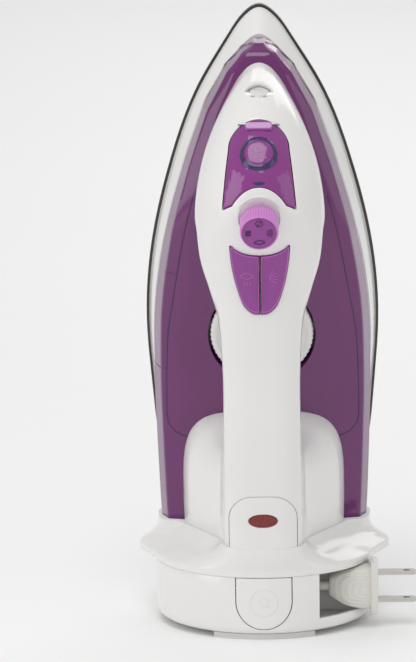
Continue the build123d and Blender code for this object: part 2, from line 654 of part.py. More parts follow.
keep("reel_housing", reel_housing())
keep("deck_plate", Pos(0, 0, DRUM_TOP) * (peg(49.1, 1.3) - Pos(WIRE_X, 38, -1) * peg(2.2, 5)
                                             - Pos(-WIRE_X, 38, -1) * peg(2.2, 5)))


def foot_ring(inner, outer, half_angle, middle):
    sector = Polyline((0, 0), *[(70 * cos(pi * (middle + t) / 180), 70 * sin(pi * (middle + t) / 180))
                                for t in (-half_angle, 0, half_angle)], close=True)
    ring = peg(outer, 2.5) - Pos(0, 0, -1) * peg(inner, 5)
    return ring & extrude(make_face(sector.edges()), 2.5)


keep("feet", Compound([foot_ring(39, 47.2, 29, 270), foot_ring(39, 46.0, 40, 90)]))
cover = Pos(0, 0, 1.2) * peg(36, 1.3) + peg(12, 1.3)
keep("base_cover", cover - [Rot(0, 0, angle) * Pos(22, 0, 0) * peg(1.6, 5) for angle in (90, 210, 330)])


def cover_screw():
    shank = Pos(0, 0, 1.2) * peg(1.6, 3.7)
    head = Pos(0, 0, 0.4) * peg(3.2, 0.8) - Pos(0, 0, 0.2) * (Box(4, 0.8, 0.9) + Box(0.8, 4, 0.9))
    return shank + head


keep("cover_screws", Compound([Rot(0, 0, angle) * Pos(22, 0, 0) * cover_screw() for angle in (90, 210, 330)]))


# ---------------------------------------------------------------- cord reel, spring, contacts and brake
def cord_reel():
    hub = Pos(0, 0, REEL_LOW) * peg(HUB_R, REEL_HIGH - REEL_LOW)
    flanges = Pos(0, 0, REEL_LOW) * peg(REEL_R, FLANGE) + Pos(0, 0, REEL_HIGH - FLANGE) * peg(REEL_R, FLANGE)
    hollow = Pos(0, 0, REEL_LOW + 2) * (peg(HUB_R - THIN, 40) - peg(5.5, 40))
    windows = [Rot(0, 0, 60 * i) * Pos(23.5, 0, REEL_HIGH - FLANGE) * peg(4.5, 5) for i in range(6)]
    bore = peg(3.06, 60)
    return Pos(REEL_X, REEL_Y, 0) * (hub + flanges - hollow - windows - bore)


def wound_cord():
    """The cord on the reel, as one body with a turn's bulge at each layer of its outer edge."""
    low, high = REEL_LOW + FLANGE + 0.1, REEL_HIGH - FLANGE - 0.1
    ring = Pos(0, 0, low) * (peg(WOUND_R - 1.2, high - low) - peg(HUB_R + 0.05, high - low))
    turns = [Pos(0, 0, low + 2 + 3.53 * i) * Torus(WOUND_R - 1.9, 1.85) for i in range(4)]
    return Pos(REEL_X, REEL_Y, 0) * (ring + turns)


def power_spring():
    """The flat spring that winds the reel back."""
    inner, outer = [], []
    for i in range(12 * 7 + 1):
        angle, reach = 2 * pi * i / 12, 6.0 + 18.0 * i / 84
        inner.append((reach * cos(angle), reach * sin(angle)))
        outer.append(((reach + 0.6) * cos(angle), (reach + 0.6) * sin(angle)))
    edges = [*Spline(*inner).edges(), *Line(inner[-1], outer[-1]).edges(), *Spline(*reversed(outer)).edges(),
             *Line(outer[0], inner[0]).edges()]
    return Pos(REEL_X, REEL_Y, 5.6) * extrude(make_face(edges), 3.0)


keep("cord_reel", cord_reel())
keep("wound_cord", wound_cord())
keep("power_spring", power_spring())
keep("reel_pin", Pos(REEL_X, REEL_Y, DRUM_BOTTOM) * peg(3.0, 25.3))
rings = [Pos(REEL_X, REEL_Y, REEL_HIGH) * (peg(r + 1.2, 0.3) - peg(r, 0.3)) for r in (9.0, 12.5)]
keep("slip_rings", Compound(rings))
brush = Box(1.0, 5, 1.55, align=(Align.CENTER, Align.CENTER, Align.MIN))
keep("brushes", Compound([Pos(REEL_X + r + 0.6, REEL_Y, 27.45) * brush for r in (9.0, 12.5)]))


def brake_lever():
    """Pushed by the rewind button at one end, it lifts its shoe off the reel's rim at the other."""
    arm = Pos(PIVOT_X + 0.75, PIVOT_Y, 0) * Box(24.5, 2.6, 4.2)
    shoe = Pos(-19.5, -31.0, 0) * Box(4, 14.0, 4.2)
    rim = Pos(REEL_X, REEL_Y, -10) * peg(REEL_R + 0.35, 20)
    return Pos(0, 0, 24.6) * (arm + Pos(PIVOT_X, PIVOT_Y, -2.1) * peg(3.6, 4.2) + shoe - rim
                              - Pos(PIVOT_X, PIVOT_Y, -5) * peg(1.56, 10))


keep("brake_lever", brake_lever())
keep("brake_pin", Pos(PIVOT_X, PIVOT_Y, 3.5) * peg(1.5, 24.8))
keep("brake_spring", Pos(PIVOT_X, PIVOT_Y, 14.6) * coil_spring(2.9, 7.0, 4, 0.4))


# ---------------------------------------------------------------- rewind button
def rewind_button():
    cap = (peg(DRUM_R + 0.35, DRUM_TOP - 0.3) - peg(DRUM_R - WALL - 0.2, 60)) & u_prism()
    return cap + Pos(0, STEM_TIP, STEM_Z) * Rot(90, 0, 0) * peg(2.0, 10)


keep("rewind_button", rewind_button())
keep("rewind_spring", Pos(0, -40.3, STEM_Z) * Rot(90, 0, 0) * coil_spring(3.0, 6.6, 4, 0.3))


# ---------------------------------------------------------------- plug and the cord's end
PLUG_BACK = 29.5


def plug_body():
    rows = [(PLUG_BACK, 7.4, 8.0), (33.0, 11.0, 12.0), (37.0, 14.4, 16.4), (42.0, 16.0, 18.8),
            (PLATE_X, 16.4, 19.7)]
    sections = []
    for x, wide, high in rows:
        seat = Plane(origin=(x, CORD_Y, CORD_Z), x_dir=(0, 1, 0), z_dir=(1, 0, 0))
        sections.append(seat * RectangleRounded(wide, high, 3.4))
    plate = extrude(RectangleRounded(25.2, 17.6, 2.4), PLATE_THICK)
    plate = Pos(PLATE_X, CORD_Y, CORD_Z) * Rot(0, 90, 0) * plate
    slot = Box(30, BLADE_WIDE, BLADE_THICK, align=(Align.MIN, Align.CENTER, Align.CENTER))
    slots = [Pos(PLATE_X - 9, CORD_Y, CORD_Z + side * BLADE_PITCH / 2) * slot for side in (1, -1)]
    cord_bore = Pos(PLUG_BACK - 1, CORD_Y, CORD_Z) * Rot(0, 90, 0) * peg(CORD_R, 5)
    return loft(sections, ruled=True) + plate - slots - cord_bore


def plug_blades():
    blades = []
    for side in (1, -1):
        seat = Pos(PLATE_X - 9, CORD_Y, CORD_Z + side * BLADE_PITCH / 2)
        long = 9 + PLATE_THICK + BLADE_LONG
        bar = Box(long, BLADE_WIDE, BLADE_THICK, align=(Align.MIN, Align.CENTER, Align.CENTER))
        bar = chamfer(bar.edges().filter_by(Axis.Z).sort_by(Axis.X)[-2:], 1.4)
        hole = Pos(long - 4.2, 0, 0) * Cylinder(1.6, 6)
        blades.append(seat * (bar - hole))
    return Compound(blades)


keep("plug_body", plug_body())
keep("plug_blades", plug_blades())
keep("cord_tail", Pos(-38, CORD_Y, CORD_Z) * Rot(0, 90, 0) * peg(CORD_R, PLUG_BACK + 3 + 38))


# ---------------------------------------------------------------- wires from the contacts to the heater
def wire(x):
    corners = [(x, 38, 27.6), (x, 38, 42), (x, 36.9, 49.2), (x, 33.8, 71.2)]
    path = Polyline(*corners)
    path = fillet(path.vertices()[1:-1], 4)
    return sweep(Plane(origin=path @ 0, z_dir=path % 0) * Circle(1.1), path=path)


keep("heater_wires", Compound([wire(WIRE_X), wire(-WIRE_X)]))


os.makedirs("parts", exist_ok=True)
for name, shape in parts.items():
    export_step(shape, f"parts/{name}.step")
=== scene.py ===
import math

import bmesh
import bpy
from mathutils import Matrix, Vector
from mathutils.bvhtree import BVHTree


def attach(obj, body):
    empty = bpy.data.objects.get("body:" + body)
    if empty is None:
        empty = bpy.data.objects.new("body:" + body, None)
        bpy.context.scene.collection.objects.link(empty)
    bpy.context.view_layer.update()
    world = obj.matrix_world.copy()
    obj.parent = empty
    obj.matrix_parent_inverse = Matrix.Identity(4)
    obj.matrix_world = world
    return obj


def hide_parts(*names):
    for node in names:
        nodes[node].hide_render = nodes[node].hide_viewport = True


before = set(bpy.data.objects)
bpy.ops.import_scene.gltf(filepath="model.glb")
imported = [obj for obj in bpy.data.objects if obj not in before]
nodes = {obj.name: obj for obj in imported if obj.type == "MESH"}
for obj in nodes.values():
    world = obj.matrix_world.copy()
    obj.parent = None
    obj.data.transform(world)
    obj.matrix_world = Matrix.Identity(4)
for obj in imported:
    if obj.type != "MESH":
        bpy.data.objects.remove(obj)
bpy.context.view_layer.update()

scene = bpy.context.scene

# Studio: a white sweep with a large soft light over the iron and one at each side, as for a catalogue. The
# camera looks a little down from the handle's side, and the iron stands right of the middle of its view.
scene.view_settings.view_transform = "Standard"


def linear(hex_colour):
    """An sRGB hex colour as linear RGBA."""
    channels = [int(hex_colour[i:i + 2], 16) / 255 for i in (1, 3, 5)]
    return [c / 12.92 if c <= 0.04045 else ((c + 0.055) / 1.055) ** 2.4 for c in channels] + [1.0]


def add(tree, kind, settings=None, **inputs):
    """Adds a shader node with its settings; an input is a value, or another node's output to link from."""
    new = tree.nodes.new(kind)
    for key, value in (settings or {}).items():
        setattr(new, key, value)
    for key, value in inputs.items():
        socket = new.inputs[key.replace("_", " ")]
        if isinstance(value, bpy.types.NodeSocket):
            tree.links.new(value, socket)
        else:
            socket.default_value = value
    return new


camera = bpy.data.objects.new("camera", bpy.data.cameras.new("camera"))
scene.collection.objects.link(camera)
CAMERA_DOWN, CAMERA_ROLL, CAMERA_ROUND = math.radians(9.0), math.radians(-0.6), math.radians(0.45)
CAMERA_PLACE = (0, -1.400, 0.355)
camera.matrix_world = (Matrix.Rotation(CAMERA_ROUND, 4, "Z") @ Matrix.Translation(CAMERA_PLACE)
                       @ Matrix.Rotation(math.pi / 2 - CAMERA_DOWN, 4, "X") @ Matrix.Rotation(CAMERA_ROLL, 4, "Z"))
camera.data.lens = 168.0
camera.data.sensor_width = 36.0
camera.data.shift_x = -0.0816
camera.data.clip_start, camera.data.clip_end = 0.1, 20.0
scene.camera = camera

world = bpy.data.worlds.new("studio")
scene.world = world
world.use_nodes = True
world.node_tree.nodes["Background"].inputs["Color"].default_value = (1.0, 1.0, 1.0, 1.0)
world.node_tree.nodes["Background"].inputs["Strength"].default_value = 0.55


def softbox(name, place, aim, wide, high, watts):
    lamp = bpy.data.lights.new(name, "AREA")
    lamp.shape, lamp.size, lamp.size_y, lamp.energy = "RECTANGLE", wide, high, watts
    holder = bpy.data.objects.new(name, lamp)
    scene.collection.objects.link(holder)
    holder.location = place
    holder.rotation_euler = (Vector(aim) - Vector(place)).to_track_quat("-Z", "Y").to_euler()


softbox("softbox_over", (-0.15, -0.55, 1.35), (0, 0, 0.12), 0.9, 0.9, 6.0)
softbox("softbox_left", (-1.2, -0.75, 0.55), (0, 0, 0.15), 0.7, 1.0, 3.2)
softbox("softbox_right", (1.25, -0.6, 0.45), (0, 0, 0.13), 0.6, 1.0, 1.2)
softbox("softbox_back", (0.2, 1.1, 0.9), (0, 0, 0.12), 1.0, 0.8, 3.0)

SWEEP_HALF, SWEEP_START, SWEEP_R = 3.0, 0.6, 1.6
sweep = bmesh.new()
curve = [(SWEEP_START + SWEEP_R * math.sin(t), SWEEP_R * (1 - math.cos(t))) for t in
         (math.pi / 24 * k for k in range(13))]
rail = [[sweep.verts.new((x, y, z)) for x in (-SWEEP_HALF, SWEEP_HALF)] for y, z in [(-SWEEP_HALF, 0.0)] + curve]
for near, far in zip(rail, rail[1:]):
    sweep.faces.new((near[0], near[1], far[1], far[0])).smooth = True
floor_mesh = bpy.data.meshes.new("floor")
sweep.to_mesh(floor_mesh)
sweep.free()
floor = bpy.data.objects.new("floor", floor_mesh)
scene.collection.objects.link(floor)
# matt white background paper: even, with a faint tooth
paper = bpy.data.materials.new("matt_white_paper")
paper.use_nodes = True
paper_shader = paper.node_tree.nodes["Principled BSDF"]
paper_shader.inputs["Base Color"].default_value = linear("#fdfdfd")
paper_shader.inputs["Roughness"].default_value = 0.8
tooth = add(paper.node_tree, "ShaderNodeTexNoise", Scale=900.0, Detail=3.0)
paper_bump = add(paper.node_tree, "ShaderNodeBump", Strength=0.03, Distance=0.0004, Height=tooth.outputs["Fac"])
paper.node_tree.links.new(paper_bump.outputs["Normal"], paper_shader.inputs["Normal"])
floor_mesh.materials.append(paper)

# Soleplate, heater and steel parts: a dark non-stick coating on aluminium, a die-cast heater block with its
# element, and drawn steel pins and covers. They stay as the frame has them and get their finish here.


def paint(names, finish):
    """Gives pieces of the frame that stay as they are their finish."""
    for name in names:
        nodes[name].data.materials.clear()
        nodes[name].data.materials.append(finish)


def metal(name, colour, roughness, grain_mm, strength=0.15, stretch=(1, 1, 1)):
    """A bare or coated metal whose gloss, shade and surface vary at the given grain."""
    new = bpy.data.materials.new(name)
    new.use_nodes = True
    tree, shader = new.node_tree, new.node_tree.nodes["Principled BSDF"]
    place = add(tree, "ShaderNodeTexCoord")
    drawn = add(tree, "ShaderNodeMapping", Vector=place.outputs["Object"], Scale=stretch)
    marks = add(tree, "ShaderNodeTexNoise", Vector=drawn.outputs["Vector"], Scale=1000.0 / grain_mm, Detail=4.0)
    gloss = add(tree, "ShaderNodeMapRange", Value=marks.outputs["Fac"], To_Min=roughness * 0.8,
                To_Max=roughness * 1.25)
    shade = add(tree, "ShaderNodeMixRGB", {"blend_type": "MULTIPLY"}, Fac=0.2, Color1=linear(colour),
                Color2=marks.outputs["Fac"])
    dent = add(tree, "ShaderNodeBump", Strength=strength, Distance=0.0001, Height=marks.outputs["Fac"])
    shader.inputs["Metallic"].default_value = 1.0
    tree.links.new(shade.outputs["Color"], shader.inputs["Base Color"])
    tree.links.new(gloss.outputs["Result"], shader.inputs["Roughness"])
    tree.links.new(dent.outputs["Normal"], shader.inputs["Normal"])
    return new


# sprayed coating on aluminium: dark grey, satin, with the fine grain of the spray
paint(["soleplate"], metal("non_stick_coated_aluminium", "#55524f", 0.34, 0.5))
# die-cast aluminium: light grey, dull and slightly grainy
paint(["heater_block"], metal("die_cast_aluminium", "#b5b4b1", 0.5, 0.9, 0.4))
# drawn stainless steel: bright, with fine lengthwise lines
drawn_steel = metal("drawn_stainless_steel", "#c9c8c6", 0.24, 0.7, 0.12, (1, 1, 0.15))
paint(["heating_element", "steam_chamber_cover", "thermostat", "valve_rod", "lid_pin", "reel_pin", "brake_pin",
       "cover_screws"], drawn_steel)
# wound spring steel: darker, with the drawing lines round the wire
paint(["burst_spring", "spray_spring", "rewind_spring", "brake_spring", "power_spring"],
      metal("spring_steel", "#8f8d8a", 0.3, 0.4))
# turned brass: warm yellow with fine tool marks
paint(["drip_valve", "terminal_screws"], metal("turned_brass", "#c9a860", 0.28, 0.5, 0.1, (0.2, 0.2, 1)))
# rolled copper: reddish, rubbed bright where the contacts run
paint(["slip_rings", "brushes"], metal("rolled_copper", "#c27a5a", 0.3, 0.5))
# nickel-plated brass blades: bright and smooth, with the faint lengthwise lines of the strip
paint(["plug_blades"], metal("nickel_plated_brass", "#cfccc6", 0.18, 0.8, 0.08, (0.15, 1, 1)))

# Skirt: the heat-resistant plastic band round the sole, moulded in glossy white like the casing. The tank
# stands on it with a thin dark gap between the two.


def moulded(name, colour, flow_colour, roughness, coat=0.0, clear=0.0, grain_mm=1.2, strength=0.05):
    """A moulded plastic: the faint flow of colour and gloss that a polished steel mould leaves."""
    new = bpy.data.materials.new(name)
    new.use_nodes = True
    tree, shader = new.node_tree, new.node_tree.nodes["Principled BSDF"]
    place = add(tree, "ShaderNodeTexCoord")
    flow = add(tree, "ShaderNodeTexNoise", Vector=place.outputs["Object"], Scale=25.0, Detail=2.0)
    fine = add(tree, "ShaderNodeTexNoise", Vector=place.outputs["Object"], Scale=1000.0 / grain_mm, Detail=3.0)
    tint = add(tree, "ShaderNodeMixRGB", Fac=flow.outputs["Fac"], Color1=linear(colour), Color2=linear(flow_colour))
    gloss = add(tree, "ShaderNodeMapRange", Value=flow.outputs["Fac"], To_Min=roughness * 0.85,
                To_Max=roughness * 1.2)
    skin = add(tree, "ShaderNodeBump", Strength=strength, Distance=0.00008, Height=fine.outputs["Fac"])
    tree.links.new(tint.outputs["Color"], shader.inputs["Base Color"])
    tree.links.new(gloss.outputs["Result"], shader.inputs["Roughness"])
    tree.links.new(skin.outputs["Normal"], shader.inputs["Normal"])
    shader.inputs["IOR"].default_value = 1.5
    shader.inputs["Coat Weight"].default_value = coat
    shader.inputs["Coat Roughness"].default_value = 0.04
    shader.inputs["Transmission Weight"].default_value = clear
    return new


# glossy ABS: a very slightly warm white with clear soft reflections
white_gloss = moulded("gloss_white_abs", "#efeeec", "#e9e8e6", 0.16, coat=0.25)
paint(["skirt"], white_gloss)

# Water tank: clear purple plastic, moulded in two halves and welded, with a bevelled roof edge, a nose crease,
# level marks and a round seat for the dial. It wraps the front of the iron between the skirt and the casing.
# The body of the iron leans back: a point of it is x across, a along the sole, and h above the ironing face.
LEAN, SOLE_FOOT = math.radians(8.0), 0.061
BODY = Matrix.Translation((0, SOLE_FOOT, 0)) @ Matrix.Rotation(LEAN, 4, "X")
MM = 0.001


def on_body(x, a, h):
    """A point of the leaning body, given in mm, as a place in metres."""
    return BODY @ (Vector((x, -h, a)) * MM)


def seat_at(a, h, tilt=0.0, x=0.0):
    """A seat on the body: its Z points out of the casing, its Y to the tip, tilted back by tilt degrees."""
    return BODY @ Matrix.Translation(Vector((x, -h, a)) * MM) @ Matrix.Rotation(math.radians(90 + tilt), 4, "X")


def new_piece(name, points, faces, finish):
    """A smooth mesh piece from points in metres and faces."""
    mesh = bpy.data.meshes.new(name)
    mesh.from_pydata([tuple(p) for p in points], [], faces)
    work = bmesh.new()
    work.from_mesh(mesh)
    bmesh.ops.recalc_face_normals(work, faces=work.faces)
    for face in work.faces:
        face.smooth = True
    work.to_mesh(mesh)
    work.free()
    mesh.materials.append(finish)
    piece = bpy.data.objects.new(name, mesh)
    scene.collection.objects.link(piece)
    return piece


def skin(name, rings, finish):
    """A closed piece with a skin over rings of points and a cap on each end ring."""
    count = len(rings[0])
    faces = [(i * count + k, i * count + (k + 1) % count, (i + 1) * count + (k + 1) % count, (i + 1) * count + k)
             for i in range(len(rings) - 1) for k in range(count)]
    faces += [tuple(range(count)), tuple(range((len(rings) - 1) * count, len(rings) * count))]
    return new_piece(name, [p for ring in rings for p in ring], faces, finish)


def smooth_row(rows, t):
    """A row at place t, counted in rows, on a smooth curve through them all."""
    i = max(0, min(len(rows) - 2, int(t)))
    u = t - i
    before, low, high, after = (rows[max(0, min(len(rows) - 1, k))] for k in (i - 1, i, i + 1, i + 2))
    return [0.5 * (2 * b + (c - a) * u + (2 * a - 5 * b + 4 * c - d) * u**2 + (3 * b - 3 * c + d - a) * u**3)
            for a, b, c, d in zip(before, low, high, after)]


def read_table(rows, value):
    """The rest of a row whose first number is value; past either end it is the end row's."""
    value = max(rows[0][0], min(rows[-1][0], value))
    i = max(k for k in range(len(rows) - 1) if rows[k][0] <= value)
    return smooth_row(rows, i + (value - rows[i][0]) / (rows[i + 1][0] - rows[i][0]))[1:]


def bake(piece):
    """Applies a piece's modifiers to its mesh."""
    mesh = bpy.data.meshes.new_from_object(piece.evaluated_get(bpy.context.evaluated_depsgraph_get()))
    piece.modifiers.clear()
    piece.data = mesh


def carve(piece, *cutters, how="DIFFERENCE"):
    """Cuts other pieces out of a closed piece, or keeps what they share, and uses them up.

    The manifold solver is used because the exact one turns some of the casing's cuts into added blocks.
    """
    for cutter in cutters:
        step = piece.modifiers.new("carve", "BOOLEAN")
        step.object, step.operation, step.solver = cutter, how, "MANIFOLD"
        bake(piece)
        bpy.data.objects.remove(cutter)
    return piece


def copy_of(piece, name):
    twin = piece.copy()
    twin.data = piece.data.copy()
    twin.name = name
    scene.collection.objects.link(twin)
    return twin


def prism(name, outline, seat, low, high, finish=white_gloss):
    """A straight-sided piece over an outline in mm on a seat, from low to high."""
    return skin(name, [[seat @ (Vector((x, y, z)) * MM) for x, y in outline] for z in (low, high)], finish)


def circle(radius, count=96, turn=0.0):
    return [(radius * math.cos(2 * math.pi * k / count + turn), radius * math.sin(2 * math.pi * k / count + turn))
            for k in range(count)]


def crisp(piece, angle=32.0):
    """Smooth shading that stays crisp at edges sharper than the angle."""
    work = bmesh.new()
    work.from_mesh(piece.data)
    for face in work.faces:
        face.smooth = True
    for edge in work.edges:
        edge.smooth = not (len(edge.link_faces) == 2 and edge.calc_face_angle(0.0) > math.radians(angle))
    work.to_mesh(piece.data)
    work.free()


def level_block(low, high):
    """A block wider than the iron between two heights over the floor, to trim pieces level."""
    return prism("level_block", [(-150, -200), (150, -200), (150, 200), (-150, 200)], Matrix.Identity(4), low, high)


def laid(piece, seat, points, lift=0.0):
    """Points given on a seat, dropped onto a piece's surface below them and lifted off it."""
    tree = BVHTree.FromObject(piece, bpy.context.evaluated_depsgraph_get())
    down = (seat.to_3x3() @ Vector((0, 0, -1))).normalized()
    found = []
    for x, y in points:
        hit = tree.ray_cast(seat @ (Vector((x, y, 40)) * MM), down)[0]
        if hit is not None:
            found.append(hit - down * lift * MM)
    return found


def stroke(name, points, radius, finish, closed=False):
    """A fine round moulded line along points in metres."""
    line = bpy.data.curves.new(name, "CURVE")
    line.dimensions, line.bevel_depth, line.bevel_resolution, line.use_fill_caps = "3D", radius * MM, 2, True
    run = line.splines.new("POLY")
    run.points.add(len(points) - 1)
    for spot, place in zip(run.points, points):
        spot.co = (*place, 1.0)
    run.use_cyclic_u = closed
    holder = bpy.data.objects.new(name, line)
    scene.collection.objects.link(holder)
    mesh = bpy.data.meshes.new_from_object(holder.evaluated_get(bpy.context.evaluated_depsgraph_get()))
    bpy.data.objects.remove(holder)
    mesh.materials.clear()
    mesh.materials.append(finish)
    piece = bpy.data.objects.new(name, mesh)
    scene.collection.objects.link(piece)
    return piece


def join(name, pieces):
    """Several meshes as one piece, with the materials they have."""
    points, faces, slots, marks = [], [], [], []
    for piece in pieces:
        start = len(points)
        finish = piece.data.materials[0]
        if finish not in slots:
            slots.append(finish)
        points += [v.co[:] for v in piece.data.vertices]
        faces += [tuple(start + v for v in face.vertices) for face in piece.data.polygons]
        marks += [slots.index(finish)] * len(piece.data.polygons)
        bpy.data.objects.remove(piece)
    whole = new_piece(name, points, faces, slots[0])
    for finish in slots[1:]:
        whole.data.materials.append(finish)
    for face, mark in zip(whole.data.polygons, marks):
        face.material_index = mark
    return whole


def done(piece, body, slot, *replaced):
    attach(piece, body)
    if replaced:
        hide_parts(*replaced)
    return piece


# clear purple acrylic over water: deep colour in the wall under a polished face
tank_purple = moulded("clear_purple_acrylic", "#74206f", "#651b62", 0.12, coat=0.5, clear=0.1)
# place along the sole, half-width at the floor, height of the middle of the roof
TANK = [(40, 47.8, 45.2), (60, 48.6, 45.7), (85, 49.4, 46.5), (120, 50.0, 49.0), (155, 48.7, 53.0), (190, 43.0, 56.0),
        (220, 34.4, 55.0), (245, 25.3, 51.0), (262, 15.6, 47.0), (270.5, 8.0, 43.5), (273.8, 2.6, 37.0)]
TANK_LOW = 24.0
# half of a cross-section from the floor over the bevel to the middle: shares of the half-width and the height
TANK_SIDE = [(1.0, 0.0), (1.0, 0.36), (0.998, 0.42), (0.99, 0.47), (0.94, 0.78), (0.928, 0.83), (0.912, 0.855),
             (0.8, 0.925), (0.7, 0.965), (0.5, 0.985), (0.25, 0.997), (0.0, 1.0)]


def tank_point(u, a):
    """A point of the tank's skin, u from 0 at the floor of one side to 1 at the middle of the roof."""
    half, top = read_table(TANK, a)
    w, v = smooth_row(TANK_SIDE, abs(u) * (len(TANK_SIDE) - 1))
    return on_body(math.copysign(half * w, u), a, TANK_LOW + (top - TANK_LOW) * v)


TANK_SLICES, TANK_STEPS = 80, 33
tank_rings = []
for i in range(TANK_SLICES):
    a = TANK[0][0] + (TANK[-1][0] - TANK[0][0]) * (1 - (1 - i / (TANK_SLICES - 1)) ** 1.5)
    shares = [k / TANK_STEPS for k in range(1, TANK_STEPS + 1)]
    tank_rings.append([tank_point(1e-9, a)] + [tank_point(s, a) for s in shares]
                      + [tank_point(-s, a) for s in reversed(shares[:-1])] + [tank_point(-1e-9, a)])
water_tank = skin("water_tank_shell", tank_rings, tank_purple)
tank_tool = copy_of(water_tank, "tank_tool")
DIAL_SEAT, DIAL_R = (141.5, 52.0, 13.0), 23.5
carve(water_tank, prism("dial_pit", circle(DIAL_R + 1.1), seat_at(*DIAL_SEAT), -7.6, 30), level_block(-50, 43.0))
crisp(water_tank)
# a darker purple where the wall is double: the weld line and the level marks
weld_purple = moulded("clear_purple_weld", "#4f1c56", "#451850", 0.2, coat=0.4)
# place along the sole, share of the half-width
LEVEL_LINE = [(91, 0.71), (92, 0.77), (94, 0.83), (99, 0.886), (112, 0.885), (135, 0.874), (146, 0.86), (162, 0.83),
              (185, 0.81), (207, 0.79)]


def roof_point(side, share, a):
    """The point of the tank's skin that lies at a share of the half-width."""
    low, high = 0.0, 1.0
    for _ in range(24):
        u = (low + high) / 2
        low, high = (u, high) if smooth_row(TANK_SIDE, u * (len(TANK_SIDE) - 1))[0] > share else (low, u)
    return tank_point(side * low, a)


marks = []
for side in (1, -1):
    line = [smooth_row(LEVEL_LINE, k / 8) for k in range(8 * (len(LEVEL_LINE) - 1) + 1)]
    marks.append(stroke("weld", [roof_point(side, share, a) for a, share in line], 0.32, weld_purple))
for a, share in ((124, 0.88), (171, 0.82)):
    marks.append(stroke("tick", [roof_point(-1, share + 0.03 * k, a) for k in range(5)], 0.25, weld_purple))
done(join("tank_level_marks", marks), "iron", "purple_clear_plastic")
done(water_tank, "iron", "purple_clear_plastic", "water_tank")
paint(["tank_floor"], tank_purple)

# Casing: two glossy white ABS shells snapped together: a pommel over the tank's nose, the handle, and the rear
# leg that flares onto the tank. Openings are left for the lid, knob, buttons, nozzle and the lamp's tongue.
# for each section in turn: inner (a, h), outer (a, h), shares of the pommel's and of the leg's width, where it is
# widest on the way from inner to outer, and how full it is, from 1 for an ellipse to 0.5 for a rounded rectangle
CASING = [(176, 38, 268.0, 38, 1, 0, 0.33, 1.0), (181, 56, 264.6, 56, 1, 0, 0.31, 1.0),
          (187, 72, 260.2, 74, 1, 0, 0.28, 1.0), (188.5, 82, 252.2, 93, 1, 0, 0.3, 1.0),
          (184, 88, 238.0, 112, 1, 0, 0.42, 0.98), (174, 88.5, 221, 119.9, 0.95, 0, 0.5, 0.92),
          (164, 88, 201, 117.7, 0.55, 0, 0.5, 0.85), (152, 87, 177, 112.6, 0.15, 0, 0.5, 0.8),
          (135, 86, 143, 109.2, 0, 0, 0.5, 0.78), (118, 85, 112, 107.7, 0, 0, 0.5, 0.78),
          (106, 83.5, 86, 106.7, 0, 0.25, 0.5, 0.74), (100, 79, 66, 106.0, 0, 0.75, 0.5, 0.66),
          (98, 71, 46, 104.9, 0, 1, 0.5, 0.58), (99, 62, 30, 96, 0, 1, 0.5, 0.52), (102.5, 52, 20, 78, 0, 1, 0.5, 0.5),
          (106, 38, 14, 52, 0, 1, 0.5, 0.5)]
POMMEL_HALF = [(38, 18.5), (46, 20.8), (60, 25.0), (75, 27.8), (90, 28.5), (100, 27.4), (108, 25.0), (114, 22.0),
               (121, 18.0)]
LEG_HALF = [(38, 37.4), (46, 37.2), (56, 34.2), (66, 29.0), (76, 23.8), (86, 19.6), (95, 18.0), (110, 17.6)]
HANDLE_HALF = 17.2
CASING_SLICES, CASING_AROUND = 120, 72


def casing_rings(inset):
    """Sections through the casing from the pommel's foot over the handle to the leg's foot."""
    rings = []
    for i in range(CASING_SLICES):
        ia, ih, oa, oh, pommel, leg, crest, full = smooth_row(CASING, i * (len(CASING) - 1) / (CASING_SLICES - 1))
        long = math.hypot(oa - ia, oh - ih)
        ua, uh = (oa - ia) / long, (oh - ih) / long
        ring = []
        for k in range(CASING_AROUND):
            turn = 2 * math.pi * k / CASING_AROUND
            c, s = math.cos(turn), math.sin(turn)
            share = crest * (1 - abs(c) ** full) if c > 0 else crest + (1 - crest) * abs(c) ** full
            along = inset + (long - 2 * inset) * share
            a, h = ia + ua * along, ih + uh * along
            half = (pommel * read_table(POMMEL_HALF, h)[0] + leg * read_table(LEG_HALF, h)[0]
                    + (1 - pommel - leg) * HANDLE_HALF - inset)
            ring.append(on_body(math.copysign(half * abs(s) ** full, s), a, h))
        rings.append(ring)
    return rings


WALL = 2.2
casing_solid = skin("casing_solid", casing_rings(0.0), white_gloss)
# the inner shapes stop short of both ends, which the tank and the collar's level cut away
casing_room = skin("casing_room", casing_rings(WALL)[2:-2], white_gloss)
casing_core = skin("casing_core", casing_rings(WALL / 2)[1:-1], white_gloss)

LID_SEAT = seat_at(241.0, 110.0, -48.0)
KNOB_SEAT = seat_at(214.0, 119.6, 14.0)
BUTTON_SEAT = seat_at(186.0, 113.2, 10.0)


def arc_through(start, middle, end, count):
    """Points of the arc from start over middle to end."""
    (ax, ay), (bx, by), (cx, cy) = start, middle, end
    d = 2 * (ax * (by - cy) + bx * (cy - ay) + cx * (ay - by))
    ux = ((ax**2 + ay**2) * (by - cy) + (bx**2 + by**2) * (cy - ay) + (cx**2 + cy**2) * (ay - by)) / d
    uy = ((ax**2 + ay**2) * (cx - bx) + (bx**2 + by**2) * (ax - cx) + (cx**2 + cy**2) * (bx - ax)) / d
    radius = math.hypot(ax - ux, ay - uy)
    first, mid, last = (math.atan2(y - uy, x - ux) for x, y in (start, middle, end))
    sweep_angle = (last - first) % (2 * math.pi)
    if (mid - first) % (2 * math.pi) > sweep_angle:
        sweep_angle -= 2 * math.pi
    turns = [first + sweep_angle * k / count for k in range(count + 1)]
    return [(ux + radius * math.cos(t), uy + radius * math.sin(t)) for t in turns]


